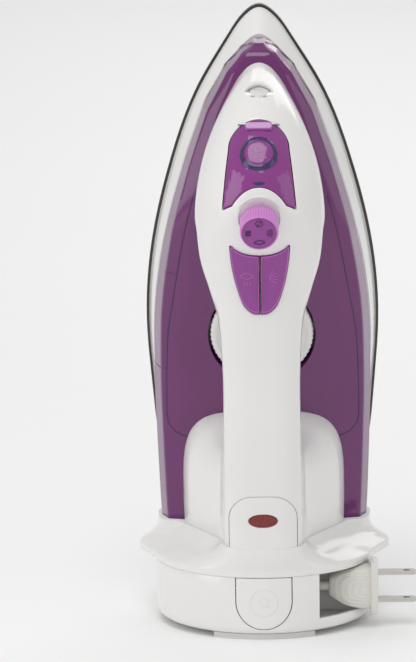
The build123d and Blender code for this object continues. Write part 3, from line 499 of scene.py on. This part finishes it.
def lid_outline(grow=0.0):
    side, low = 15.8 + grow, -19.2 - 1.6 * grow
    arch = arc_through((12.9 + grow, 6), (0, 19.4 + grow), (-12.9 - grow, 6), 32)
    hollow = arc_through((-11.6, low), (0, -14.6 - grow), (11.6, low), 20)
    return arch + [(-side, low)] + hollow + [(side, low)]


def button_outline(side, grow=0.0):
    """A crescent shoulder round the knob, a horn at the side and a point at the rear."""
    middle = 0.35 - grow
    edge = [(middle, -16.6 - grow), (3.2, -16.3 - grow), (6.3 + grow, -13.6 - grow), (8.5 + grow, -9.3),
            (10.8 + grow, -0.8), (12.2 + grow, 7.7), (12.7 + grow, 15.4 + grow), (10.6, 13.9 + grow),
            (7.5, 12.6 + grow), (4.0, 11.8 + grow), (middle, 11.6 + grow)]
    edge = [smooth_row(edge, k / 4) for k in range(4 * (len(edge) - 1) + 1)]
    return [(side * x, y) for x, y in edge]


TONGUE_HALF, TONGUE_TOP, TONGUE_CORNER = 15.2, 67.4, 11.0


def tongue_outline(grow=0.0):
    """Upright sides and a flat arch with wide corners."""
    half, corner = TONGUE_HALF + grow, TONGUE_CORNER + grow
    arch = []
    for k in range(25):
        t = math.pi * k / 24
        middle = math.copysign(TONGUE_HALF - TONGUE_CORNER, math.cos(t)) if k != 12 else 0.0
        arch.append((middle + corner * math.cos(t), TONGUE_TOP - TONGUE_CORNER + corner * math.sin(t)))
    return arch + [(-half, 30.0), (half, 30.0)]


UPRIGHT = Matrix.Translation((0, -0.040, 0)) @ Matrix.Rotation(math.pi / 2, 4, "X")
KNOB_R = 8.3
SCOOP_SEAT = BODY @ Matrix.Translation(Vector((0, -73.0, 259.0)) * MM)
SCOOP_HALF = 6.2
scoop_outline = circle(SCOOP_HALF, 48)[:25] + [(-SCOOP_HALF, -30), (SCOOP_HALF, -30)]

casing = copy_of(casing_solid, "casing_shell")
hollow = carve(copy_of(casing_room, "room"), level_block(-50, 42.0))
carve(casing, level_block(-50, 43.0), copy_of(tank_tool, "tank_cut"), hollow,
      prism("lid_hole", lid_outline(0.35), LID_SEAT, -15, 12),
      prism("left_hole", button_outline(-1, 0.3), BUTTON_SEAT, -9, 9),
      prism("right_hole", button_outline(1, 0.3), BUTTON_SEAT, -9, 9),
      prism("tongue_hole", tongue_outline(0.18), UPRIGHT, 0, 40),
      prism("scoop", scoop_outline, SCOOP_SEAT, 0, 30),
      prism("knob_hole", circle(KNOB_R + 0.7), KNOB_SEAT, -8, 20))
ease = casing.modifiers.new("soft_edges", "BEVEL")
ease.width, ease.segments, ease.limit_method, ease.angle_limit = 0.00035, 2, "ANGLE", math.radians(50)
ease.use_clamp_overlap = True
bake(casing)
crisp(casing)
done(casing, "iron", "white_gloss_plastic", "casing_upper", "casing_lower")

# knob's well and the spray trough's floor close the casing under those two openings
well = prism("knob_well", circle(KNOB_R + 1.6), KNOB_SEAT, -5.4, -2.0)
carve(well, prism("bore", circle(3.3), KNOB_SEAT, -9, 0))
TROUGH_HALF = SCOOP_HALF * 1.22
trough_outer = [(x * 1.22, y * 1.22) for x, y in circle(SCOOP_HALF, 48)[:25]]
trough_outer += [(-TROUGH_HALF, -30), (TROUGH_HALF, -30)]
trough = carve(prism("trough", trough_outer, SCOOP_SEAT, -1.5, 30), casing_core, how="INTERSECT")
carve(trough, prism("hollow", scoop_outline, SCOOP_SEAT, 0, 40))
for piece in (well, trough):
    crisp(piece)
done(well, "iron", "white_gloss_plastic")
done(trough, "iron", "white_gloss_plastic")

# Filling lid: clear violet plastic flush with the pommel, hinged on a pin at its top, with a stopper that shuts
# the neck and shows through as a dark ring round a water sign. The lower edge is hollowed for a fingernail.
lid_violet = moulded("clear_violet_pc", "#9a3a94", "#8a3288", 0.1, coat=0.5, clear=0.15)
indigo = moulded("clear_indigo_pc", "#3f2468", "#34205c", 0.14, coat=0.4, clear=0.05)
pale_violet = moulded("clear_pale_violet_pc", "#c98fca", "#bd83c2", 0.14, coat=0.4, clear=0.1)


def moulded_edges(piece, voxel_mm, rounds, pull=0.5):
    """Rounds every edge as a mould does, by an even fine mesh smoothed a few times."""
    even = piece.modifiers.new("even", "REMESH")
    even.mode, even.voxel_size, even.use_smooth_shade = "VOXEL", voxel_mm * MM, True
    ease = piece.modifiers.new("ease", "SMOOTH")
    ease.iterations, ease.factor = rounds, pull
    bake(piece)
    return piece


def turned(name, profile, seat, finish, count=96):
    """A turned piece: a profile of (radius, height) in mm from axis to axis, round its seat's Z."""
    rings = [[seat @ (Vector((x, y, z)) * MM) for x, y in circle(max(r, 0.01), count)] for r, z in profile]
    return skin(name, rings, finish)


def inlay(name, outline, seat, base, finish, lift=0.15, sunk=0.6, rows=8, relief=None):
    """A thin flush piece that follows another's surface, over an outline in mm round the seat's origin."""
    centre = (sum(x for x, y in outline) / len(outline), sum(y for x, y in outline) / len(outline))
    rings = []
    for share in [k / rows for k in range(1, rows + 1)]:
        ring = [(centre[0] + (x - centre[0]) * share, centre[1] + (y - centre[1]) * share) for x, y in outline]
        spots = laid(base, seat, ring, 0.0)
        out = (seat.to_3x3() @ Vector((0, 0, 1))).normalized() * MM
        rim = lift if share < 1 else lift * 0.4
        raises = [relief(x, y) if relief and share < 1 else 0.0 for x, y in ring]
        rings.append([p + out * (rim + extra) for p, extra in zip(spots, raises)])
    rings.append([p - out * sunk for p in laid(base, seat, outline, 0.0)])
    return skin(name, rings, finish)


lid = prism("fill_lid_shell", lid_outline(-0.05), LID_SEAT, -15, 12, lid_violet)
carve(lid, copy_of(casing_solid, "limit"), how="INTERSECT")
carve(lid, copy_of(casing_room, "under"))
moulded_edges(lid, 0.34, 4)
stopper_profile = [(0, -10.9), (6.2, -10.9), (6.6, -10.5), (8.0, -3.2), (8.0, -1.6), (0, -1.6)]
done(turned("lid_stopper", stopper_profile, LID_SEAT, indigo, 64), "fill_lid", "purple_clear_plastic")
STOPPER_V = 1.0
ring_seat = LID_SEAT @ Matrix.Translation((0, STOPPER_V * MM, 0))
lid_signs = [inlay("ring", circle(8.2, 64), ring_seat, lid, indigo, 0.12),
             inlay("disc", circle(6.3, 64), ring_seat, lid, lid_violet, 0.3)]
DROP = [(0.0, 3.2), (0.9, 1.4), (1.25, 0.4), (1.0, -0.6), (0.0, -1.1), (-1.0, -0.6), (-1.25, 0.4), (-0.9, 1.4)]
drop_line = laid(lid, ring_seat, [(x * 1.1, y * 1.1 + 1.0) for x, y in DROP], 0.34)
tray_line = laid(lid, ring_seat, [(-3.6 + 0.6 * k, -2.9 + 0.14 * math.cos(k)) for k in range(13)], 0.34)
lid_signs += [stroke("drop", drop_line, 0.2, pale_violet, True), stroke("tray", tray_line, 0.2, pale_violet)]
done(join("lid_signs", lid_signs), "fill_lid", "purple_clear_plastic")
bar_outline = [(5.8 * math.copysign(abs(math.cos(t)) ** 0.3, math.cos(t)),
                15.2 + 1.7 * math.copysign(abs(math.sin(t)) ** 0.5, math.sin(t)))
               for t in (2 * math.pi * k / 40 for k in range(40))]
hinge_bar = prism("lid_hinge_bar", bar_outline, LID_SEAT, -3.4, -0.9, pale_violet)
moulded_edges(hinge_bar, 0.25, 3)
done(hinge_bar, "fill_lid", "purple_clear_plastic")
catch_outline = [(2.6 * math.cos(t), -13.2 + 0.8 * math.sin(t)) for t in (2 * math.pi * k / 24 for k in range(24))]
catch = inlay("lid_catch_mark", catch_outline, LID_SEAT, lid, indigo, 0.1, rows=3)
done(catch, "fill_lid", "purple_clear_plastic")
done(lid, "fill_lid", "purple_clear_plastic", "fill_lid")

# Steam knob: rose pink, its grip moulded with fine upright ribs, with a purple disc let into the top that
# carries raised steam signs. It turns the valve rod over the drip valve.
rose_pink = moulded("gloss_rose_abs", "#d58ad3", "#cd80cc", 0.2, coat=0.3)
purple_gloss = moulded("gloss_purple_abs", "#953a96", "#8a348c", 0.16, coat=0.35)
sign_violet = moulded("gloss_dark_violet_print", "#4a1d55", "#40184b", 0.3)
KNOB_RIBS, RIB_DEEP = 42, 0.4
grip = []
for r, z in [(8.05, 0.9), (8.3, 1.2), (8.3, 6.0), (8.28, 11.2), (8.1, 11.8), (7.8, 12.1), (7.5, 12.1), (7.4, 11.8),
             (7.4, 11.6)]:
    ring = []
    for k in range(KNOB_RIBS * 10):
        angle = 2 * math.pi * k / (KNOB_RIBS * 10)
        groove = RIB_DEEP * (0.5 - 0.5 * math.cos(KNOB_RIBS * angle)) ** 1.5 if r > 8.0 else 0.0
        reach = r - groove
        ring.append(KNOB_SEAT @ (Vector((reach * math.cos(angle), reach * math.sin(angle), z)) * MM))
    grip.append(ring)
knob = skin("steam_knob_grip", grip, rose_pink)
crisp(knob, 60)
stem = turned("stem", [(0, -4.6), (3.1, -4.6), (3.1, 1.0), (0, 1.0)], KNOB_SEAT, rose_pink, 32)
face_profile = [(0, 11.5), (7.35, 11.5), (7.35, 11.8), (7.2, 11.92), (3, 11.95), (0, 11.95)]
knob_face = turned("face", face_profile, KNOB_SEAT, purple_gloss, 64)
FACE_Z = 11.97
signs = []


def flat_stroke(points, radius, closed=False):
    return stroke("sign", [KNOB_SEAT @ (Vector((x, y, FACE_Z)) * MM) for x, y in points], radius, sign_violet, closed)


crossed_ring = [(1.5 * math.cos(t), 4.6 + 1.5 * math.sin(t)) for t in (2 * math.pi * k / 24 for k in range(24))]
signs += [flat_stroke(crossed_ring, 0.22, True), flat_stroke([(-1.05, 3.6), (1.05, 5.6)], 0.22)]
signs += [flat_stroke([(-5.9, 1.1 - 0.75 * n), (-3.5, 1.1 - 0.75 * n)], 0.26) for n in range(4)]
cloud = [(1.8 * math.cos(t) + 0.5 * math.cos(3 * t), -4.7 + 1.1 * math.sin(t) + 0.25 * abs(math.sin(2 * t)))
         for t in (2 * math.pi * k / 30 for k in range(30))]
signs += [flat_stroke(cloud, 0.22, True)]
signs += [flat_stroke([(r * math.cos(t), r * math.sin(t)) for t in (-0.35 + 0.07 * k for k in range(11))], 0.24)
          for r in (3.7, 4.6, 5.5)]
done(join("steam_knob_signs", signs), "steam_knob", "purple_gloss_plastic")
done(knob_face, "steam_knob", "purple_gloss_plastic")
done(join("steam_knob_body", [knob, stem]), "steam_knob", "pink_gloss_plastic", "steam_knob")

# Steam burst and spray buttons: glossy purple ABS caps side by side, a narrow slit between them, each on a
# stem that pushes its pump. Each has a lighter pink line drawn just inside its edge, and its sign.
rim_pink = moulded("gloss_purple_abs_rim", "#c06cbc", "#b864b4", 0.18, coat=0.3)
BUTTON_PROUD, BUTTON_THICK = 0.9, 4.3
button_out = (BUTTON_SEAT.to_3x3() @ Vector((0, 0, 1))).normalized() * MM


def raised(piece, name, out):
    """A copy of a piece carried out of the casing along the buttons' travel."""
    twin = copy_of(piece, name)
    twin.data.transform(Matrix.Translation(button_out * out))
    return twin


for side, word in ((-1, "burst"), (1, "spray")):
    cap = prism(word + "_button_cap", button_outline(side), BUTTON_SEAT, -9, 9, purple_gloss)
    carve(cap, raised(casing_solid, "over", BUTTON_PROUD), how="INTERSECT")
    carve(cap, raised(casing_solid, "under", BUTTON_PROUD - BUTTON_THICK))
    moulded_edges(cap, 0.3, 4)
    stem_seat = BUTTON_SEAT @ Matrix.Translation((side * 0.0062, 0.008, 0))
    stem = turned("stem", [(0, -16), (2, -16), (2, -2.4), (0, -2.4)], stem_seat, purple_gloss, 32)
    inner_edge = [(side * 1.0 + (x - side * 6.0) * 0.94 + side * 5.0, (y + 0.5) * 0.94)
                  for x, y in button_outline(side)]
    rim = stroke("rim", laid(cap, BUTTON_SEAT, inner_edge, 0.0), 0.22, rim_pink, True)
    if word == "burst":
        lines = [[(-5.6 + 2.3 * math.cos(t) + 0.6 * math.cos(3 * t),
                   1.8 + 1.5 * math.sin(t) + 0.35 * abs(math.sin(2 * t)))
                  for t in (2 * math.pi * k / 30 for k in range(31))]]
        lines += [[(-5.6 - 1.2 + 1.2 * n, -0.9 - 0.5 * k) for k in range(4)] for n in range(3)]
    else:
        lines = [[(3.4 + math.cos(t) * (0.8 + 0.9 * k), 1.0 + math.sin(t) * (0.8 + 0.9 * k)) for k in range(5)]
                 for t in (-0.6, -0.2, 0.2, 0.6, 1.0)]
    sign = [stroke("sign", laid(cap, BUTTON_SEAT, line, 0.02), 0.17, rim_pink) for line in lines]
    done(join(word + "_button_signs", sign + [rim]), word + "_button", "purple_gloss_plastic")
    done(join(word + "_button_body", [cap, stem]), word + "_button", "purple_gloss_plastic", word + "_button")

# Spray nozzle: a small white moulding with a wide lip that looks out of the trough in the pommel's nose.
paint(["spray_nozzle"], white_gloss)

# Temperature dial: a white disc with a finely grooved edge, sunk in the tank's saddle. It turns the
# thermostat through its shaft; a raised ring runs round the edge of its face.
dial_seat = seat_at(*DIAL_SEAT)
DIAL_GROOVES = 60
dial_rings = []
for r, z in [(0.01, -6.0), (22.6, -6.0), (23.3, -5.6), (23.5, -5.0), (23.5, -1.2), (23.1, -0.35), (22.3, 0.0),
             (20.6, -0.05), (20.0, -0.35), (19.0, -0.4), (0.01, -0.4)]:
    ring = []
    for k in range(DIAL_GROOVES * 6):
        angle = 2 * math.pi * k / (DIAL_GROOVES * 6)
        reach = r - (0.35 * (0.5 - 0.5 * math.cos(DIAL_GROOVES * angle)) if -5.2 < z < -0.1 and r > 23 else 0.0)
        ring.append(dial_seat @ (Vector((reach * math.cos(angle), reach * math.sin(angle), z)) * MM))
    dial_rings.append(ring)
dial = skin("temperature_dial_disc", dial_rings, white_gloss)
crisp(dial, 50)
done(dial, "temperature_dial", "white_gloss_plastic", "temperature_dial")

# Collar: a white moulding between the leg and the reel drum. It sweeps up from the drum's round rim into an
# ear at each side, and a tongue of it stands up into the leg round the pilot lamp.
RIM = [(0, -50), (11, -48.8), (22, -44.9), (33, -37.6), (41.5, -27.9), (47.3, -16.2), (50.4, -6), (53.8, 3),
       (58, 14), (57.4, 26), (53, 38), (42, 47.5), (22, 50.5), (0, 50.8)]
FOOT = [(0, -52.2), (9.5, -51.2), (15.8, -48), (18.5, -41), (20.3, -31.5), (24.6, -22), (29.8, -11.5), (35.0, -1.5),
        (39.4, 6.2), (46.5, 10.6), (49.4, 20), (48.6, 36), (36, 47.6), (0, 49.8)]
SLOPE = [(29.0, 0.0), (32.0, 0.0), (34.2, 0.3), (36.8, 0.62), (39.8, 0.86), (43.0, 1.0)]
collar_rings = []
for i in range(29):
    z = 29.0 + 14.0 * i / 28
    share = read_table(SLOPE, z)[0]
    half_ring = []
    for k in range(13 * 8 + 1):
        (rx, ry), (fx, fy) = smooth_row(RIM, k / 8), smooth_row(FOOT, k / 8)
        half_ring.append((rx + (fx - rx) * share, ry + (fy - ry) * share))
    ring = half_ring + [(-x, y) for x, y in reversed(half_ring[1:-1])]
    collar_rings.append([Vector((x, y, z)) * MM for x, y in ring])
collar = skin("collar_body", collar_rings, white_gloss)
crisp(collar, 40)
tongue = carve(prism("tongue", tongue_outline(), UPRIGHT, 0, 40), copy_of(casing_solid, "limit"), how="INTERSECT")
carve(tongue, copy_of(casing_room, "inside"), level_block(0, 42.6))
LAMP_SEAT = UPRIGHT @ Matrix.Translation((0, 0.056, 0))
LAMP_HALF, LAMP_TALL = 6.35, 2.95
oval = [(LAMP_HALF * math.cos(t), LAMP_TALL * math.sin(t)) for t in (2 * math.pi * k / 64 for k in range(64))]
carve(tongue, prism("lamp_hole", [(x * 1.03, y * 1.05) for x, y in oval], LAMP_SEAT, 0, 40))
moulded_edges(tongue, 0.35, 3)
done(join("collar_moulding", [collar, tongue]), "iron", "white_gloss_plastic", "collar")

# Pilot lamp: a dark red clear lens, oval, with fine upright ribs that scatter the light of the small lamp
# behind it. It is pressed into the collar's tongue from inside.
lens_red = moulded("clear_red_pc", "#8e1a14", "#7c1410", 0.18, coat=0.4, clear=0.1)
lens = inlay("pilot_lamp_lens", oval, LAMP_SEAT, casing_solid, lens_red, lift=0.1, sunk=1.8, rows=14,
             relief=lambda x, y: 0.14 * math.sin(x * 2 * math.pi / 0.9) * math.cos(y * 2 * math.pi / 1.5))
done(lens, "iron", "red_lens", "pilot_lens")
paint(["pilot_bulb"], moulded("lamp_glass", "#e9dcc8", "#e2d2ba", 0.05, clear=0.6))

# Reel drum: a white cup that is the iron's heel, with a pocket at one side for the plug, a window for the
# rewind button and the cord's hole. The reel is inside and the drum stands on white rubber feet.
DRUM_R, DRUM_LOW, DRUM_HIGH = 50.0, 2.5, 29.0
FLOOR = Matrix.Identity(4)
POCKET_LEFT, POCKET_BACK, POCKET_WALL, POCKET_LOW = 25.0, -13.0, 1.6, 5.0
FOOT_ROUND = 4
round_foot = [(DRUM_R - FOOT_ROUND + FOOT_ROUND * math.sin(t), DRUM_LOW + FOOT_ROUND - FOOT_ROUND * math.cos(t))
              for t in (math.pi / 16 * k for k in range(9))]
drum_profile = [(0, DRUM_LOW), (30, DRUM_LOW)] + round_foot
drum_profile += [(DRUM_R, 12), (DRUM_R, 20), (DRUM_R, 28.4), (DRUM_R - 0.2, 28.85), (DRUM_R - 0.6, DRUM_HIGH),
                 (30, DRUM_HIGH), (0, DRUM_HIGH)]
drum = turned("reel_drum", drum_profile, FLOOR, white_gloss, 160)
room = turned("drum_room", [(0, 5), (DRUM_R - WALL, 5), (DRUM_R - WALL, 40), (0, 40)], FLOOR, white_gloss, 160)


def pocket_block(grow, low):
    x, y = POCKET_LEFT - grow, POCKET_BACK + grow
    return prism("pocket_block", [(x, y), (x, y - 70), (x + 70, y - 70), (x + 70, y)], FLOOR, low, 60)


carve(room, pocket_block(POCKET_WALL, -10))
REWIND_HALF, REWIND_LOW, REWIND_TOP = 12.5, 5.3, 28.7


def rewind_outline(grow=0.0, top=REWIND_TOP):
    half, middle = REWIND_HALF + grow, REWIND_LOW + REWIND_HALF
    bowl = [(half * math.cos(t), middle + half * math.sin(t)) for t in (math.pi + math.pi * k / 32 for k in range(33))]
    return bowl + [(half, top), (-half, top)]


WINDOW = Matrix.Translation((0, -0.030, 0)) @ Matrix.Rotation(math.pi / 2, 4, "X")
CORD_Y, CORD_Z, POCKET_LIP = -23.0, 18.7, 8.4
within_profile = [(0, -5), (DRUM_R - WALL, -5), (DRUM_R - WALL, 80), (0, 80)]
within = turned("within", within_profile, FLOOR, white_gloss, 160)
hidden_pocket = carve(pocket_block(0.0, POCKET_LOW), within, how="INTERSECT")
hole_seat = Matrix.Translation((0.02, CORD_Y * MM, CORD_Z * MM)) @ Matrix.Rotation(math.pi / 2, 4, "Y")
carve(drum, room, hidden_pocket, pocket_block(0.0, POCKET_LIP),
      prism("window", rewind_outline(0.35, 40), WINDOW, 0, 30), prism("cord_hole", circle(4.0, 32), hole_seat, 0, 8))
ease = drum.modifiers.new("soft_edges", "BEVEL")
ease.width, ease.segments, ease.limit_method, ease.angle_limit = 0.0004, 2, "ANGLE", math.radians(50)
bake(drum)
crisp(drum)
done(drum, "iron", "white_gloss_plastic", "reel_housing")

# Rewind button: a U-shaped white cap that is flush with the drum, with a raised circle round a cord's
# sign. It lifts the brake off the reel.
CAP_R, CAP_ROOM_R = DRUM_R + 0.35, DRUM_R - WALL - 0.2
cap_profile = [(0, 0), (CAP_R, 0), (CAP_R, 10), (CAP_R, 20), (CAP_R, 40), (0, 40)]
rewind = turned("rewind_button_cap", cap_profile, FLOOR, white_gloss, 240)
carve(rewind, turned("inside", [(0, -5), (CAP_ROOM_R, -5), (CAP_ROOM_R, 50), (0, 50)], FLOOR, white_gloss, 160))
carve(rewind, prism("cap", rewind_outline(), WINDOW, 0, 30), how="INTERSECT")
moulded_edges(rewind, 0.35, 3)
SIGN_Z = 17.8
sign_ring = [(x, SIGN_Z + y) for x, y in circle(6.2, 64)]
coil = [(1.9 * math.cos(t), SIGN_Z + 0.4 + 1.9 * math.sin(t)) for t in (math.pi * (-0.3 + k / 20) for k in range(36))]
coil += [(1.9 * math.cos(math.pi * 1.45) + 0.7 * k, SIGN_Z - 1.5 - 0.12 * k) for k in range(1, 5)]
rewind_sign = [stroke("sign", laid(rewind, WINDOW, sign_ring, -0.02), 0.26, white_gloss, True),
               stroke("sign", laid(rewind, WINDOW, coil, -0.02), 0.22, white_gloss)]
STEM_SEAT = Matrix.Translation((0, -0.0386, 0.024)) @ Matrix.Rotation(math.pi / 2, 4, "X")
rewind_stem = prism("stem", circle(2.0, 32), STEM_SEAT, 0, 9.8)
rewind_body = join("rewind_button_body", [rewind, rewind_stem] + rewind_sign)
done(rewind_body, "rewind_button", "white_gloss_plastic", "rewind_button")

# Plug: soft white PVC moulded over the blades, tapered down to the cord, with raised lines for grip and a flat
# face plate. It is parked in the drum's pocket on the last of the cord.
pvc_white = moulded("satin_white_pvc", "#e8e6e0", "#e0ded6", 0.36, grain_mm=0.8, strength=0.12)


def rounded(wide, high, power=0.42, count=64):
    return [(wide / 2 * math.copysign(abs(math.cos(t)) ** power, math.cos(t)),
             high / 2 * math.copysign(abs(math.sin(t)) ** power, math.sin(t)))
            for t in (2 * math.pi * k / count for k in range(count))]


plug_rows = [(29.5, 5.6, 6.2), (29.9, 7.2, 8.0), (31.2, 9.2, 10.0), (33.0, 11.0, 12.2), (35.0, 12.8, 14.4),
             (37.0, 14.4, 16.4), (39.5, 15.4, 17.8), (42.0, 16.0, 18.8), (45.0, 16.3, 19.4), (48.55, 16.4, 19.7),
             (48.6, 17.2, 24.6), (48.9, 17.6, 25.2), (51.4, 17.6, 25.2), (51.8, 17.0, 24.6)]
plug_rings = []
for x, wide, high in plug_rows:
    plug_rings.append([Vector((x, CORD_Y + u, CORD_Z + v)) * MM for u, v in rounded(wide, high)])
plug = skin("plug_body_moulding", plug_rings, pvc_white)
crisp(plug, 45)
PLUG_SIDE = Matrix.Translation((0.0475, CORD_Y * MM, CORD_Z * MM)) @ Matrix.Rotation(math.pi / 2, 4, "X")
ridges = []
for reach in (4.2, 6.9, 9.6, 12.3, 15.0):
    bow = [(-reach * abs(math.sin(t)) ** 0.6, 0.52 * reach * math.copysign(abs(math.cos(t)) ** 0.6, math.cos(t)))
           for t in (math.pi * k / 36 for k in range(37))]
    ridges.append(stroke("ridge", laid(plug, PLUG_SIDE, bow, -0.05), 0.3, pvc_white))
done(join("plug_body_with_ridges", [plug] + ridges), "plug", "white_plug_plastic", "plug_body")

# Cord on its reel, its short end at the plug, and the inner plastics: a satin PVC sheath, and unpolished
# white and dark nylon that only shows when the lid is open or the plug is drawn out.
paint(["cord_tail", "wound_cord"],
      moulded("satin_white_cord_pvc", "#e6e3dc", "#dedbd2", 0.42, grain_mm=0.6, strength=0.15))
paint(["fill_neck", "burst_pump", "spray_pump", "dial_shaft", "thermal_fuse", "terminal_block", "deck_plate",
       "base_cover", "cord_reel"], moulded("satin_white_nylon", "#e4e2dd", "#dbd9d3", 0.45, grain_mm=0.9, strength=0.2))
paint(["brake_lever"], moulded("satin_dark_nylon", "#3a3a3c", "#333335", 0.45, grain_mm=0.9, strength=0.2))
paint(["steam_feed_tube", "burst_piston", "spray_piston", "spray_tube", "heater_wires"],
      moulded("translucent_silicone", "#dcd8cf", "#d2cec4", 0.5, clear=0.2, grain_mm=1.5))
# moulded rubber: dull off-white feet
paint(["feet"], moulded("white_rubber", "#dddcd9", "#d5d4d0", 0.7, grain_mm=0.5, strength=0.35))

for spare in (casing_solid, casing_room, tank_tool):
    bpy.data.objects.remove(spare)
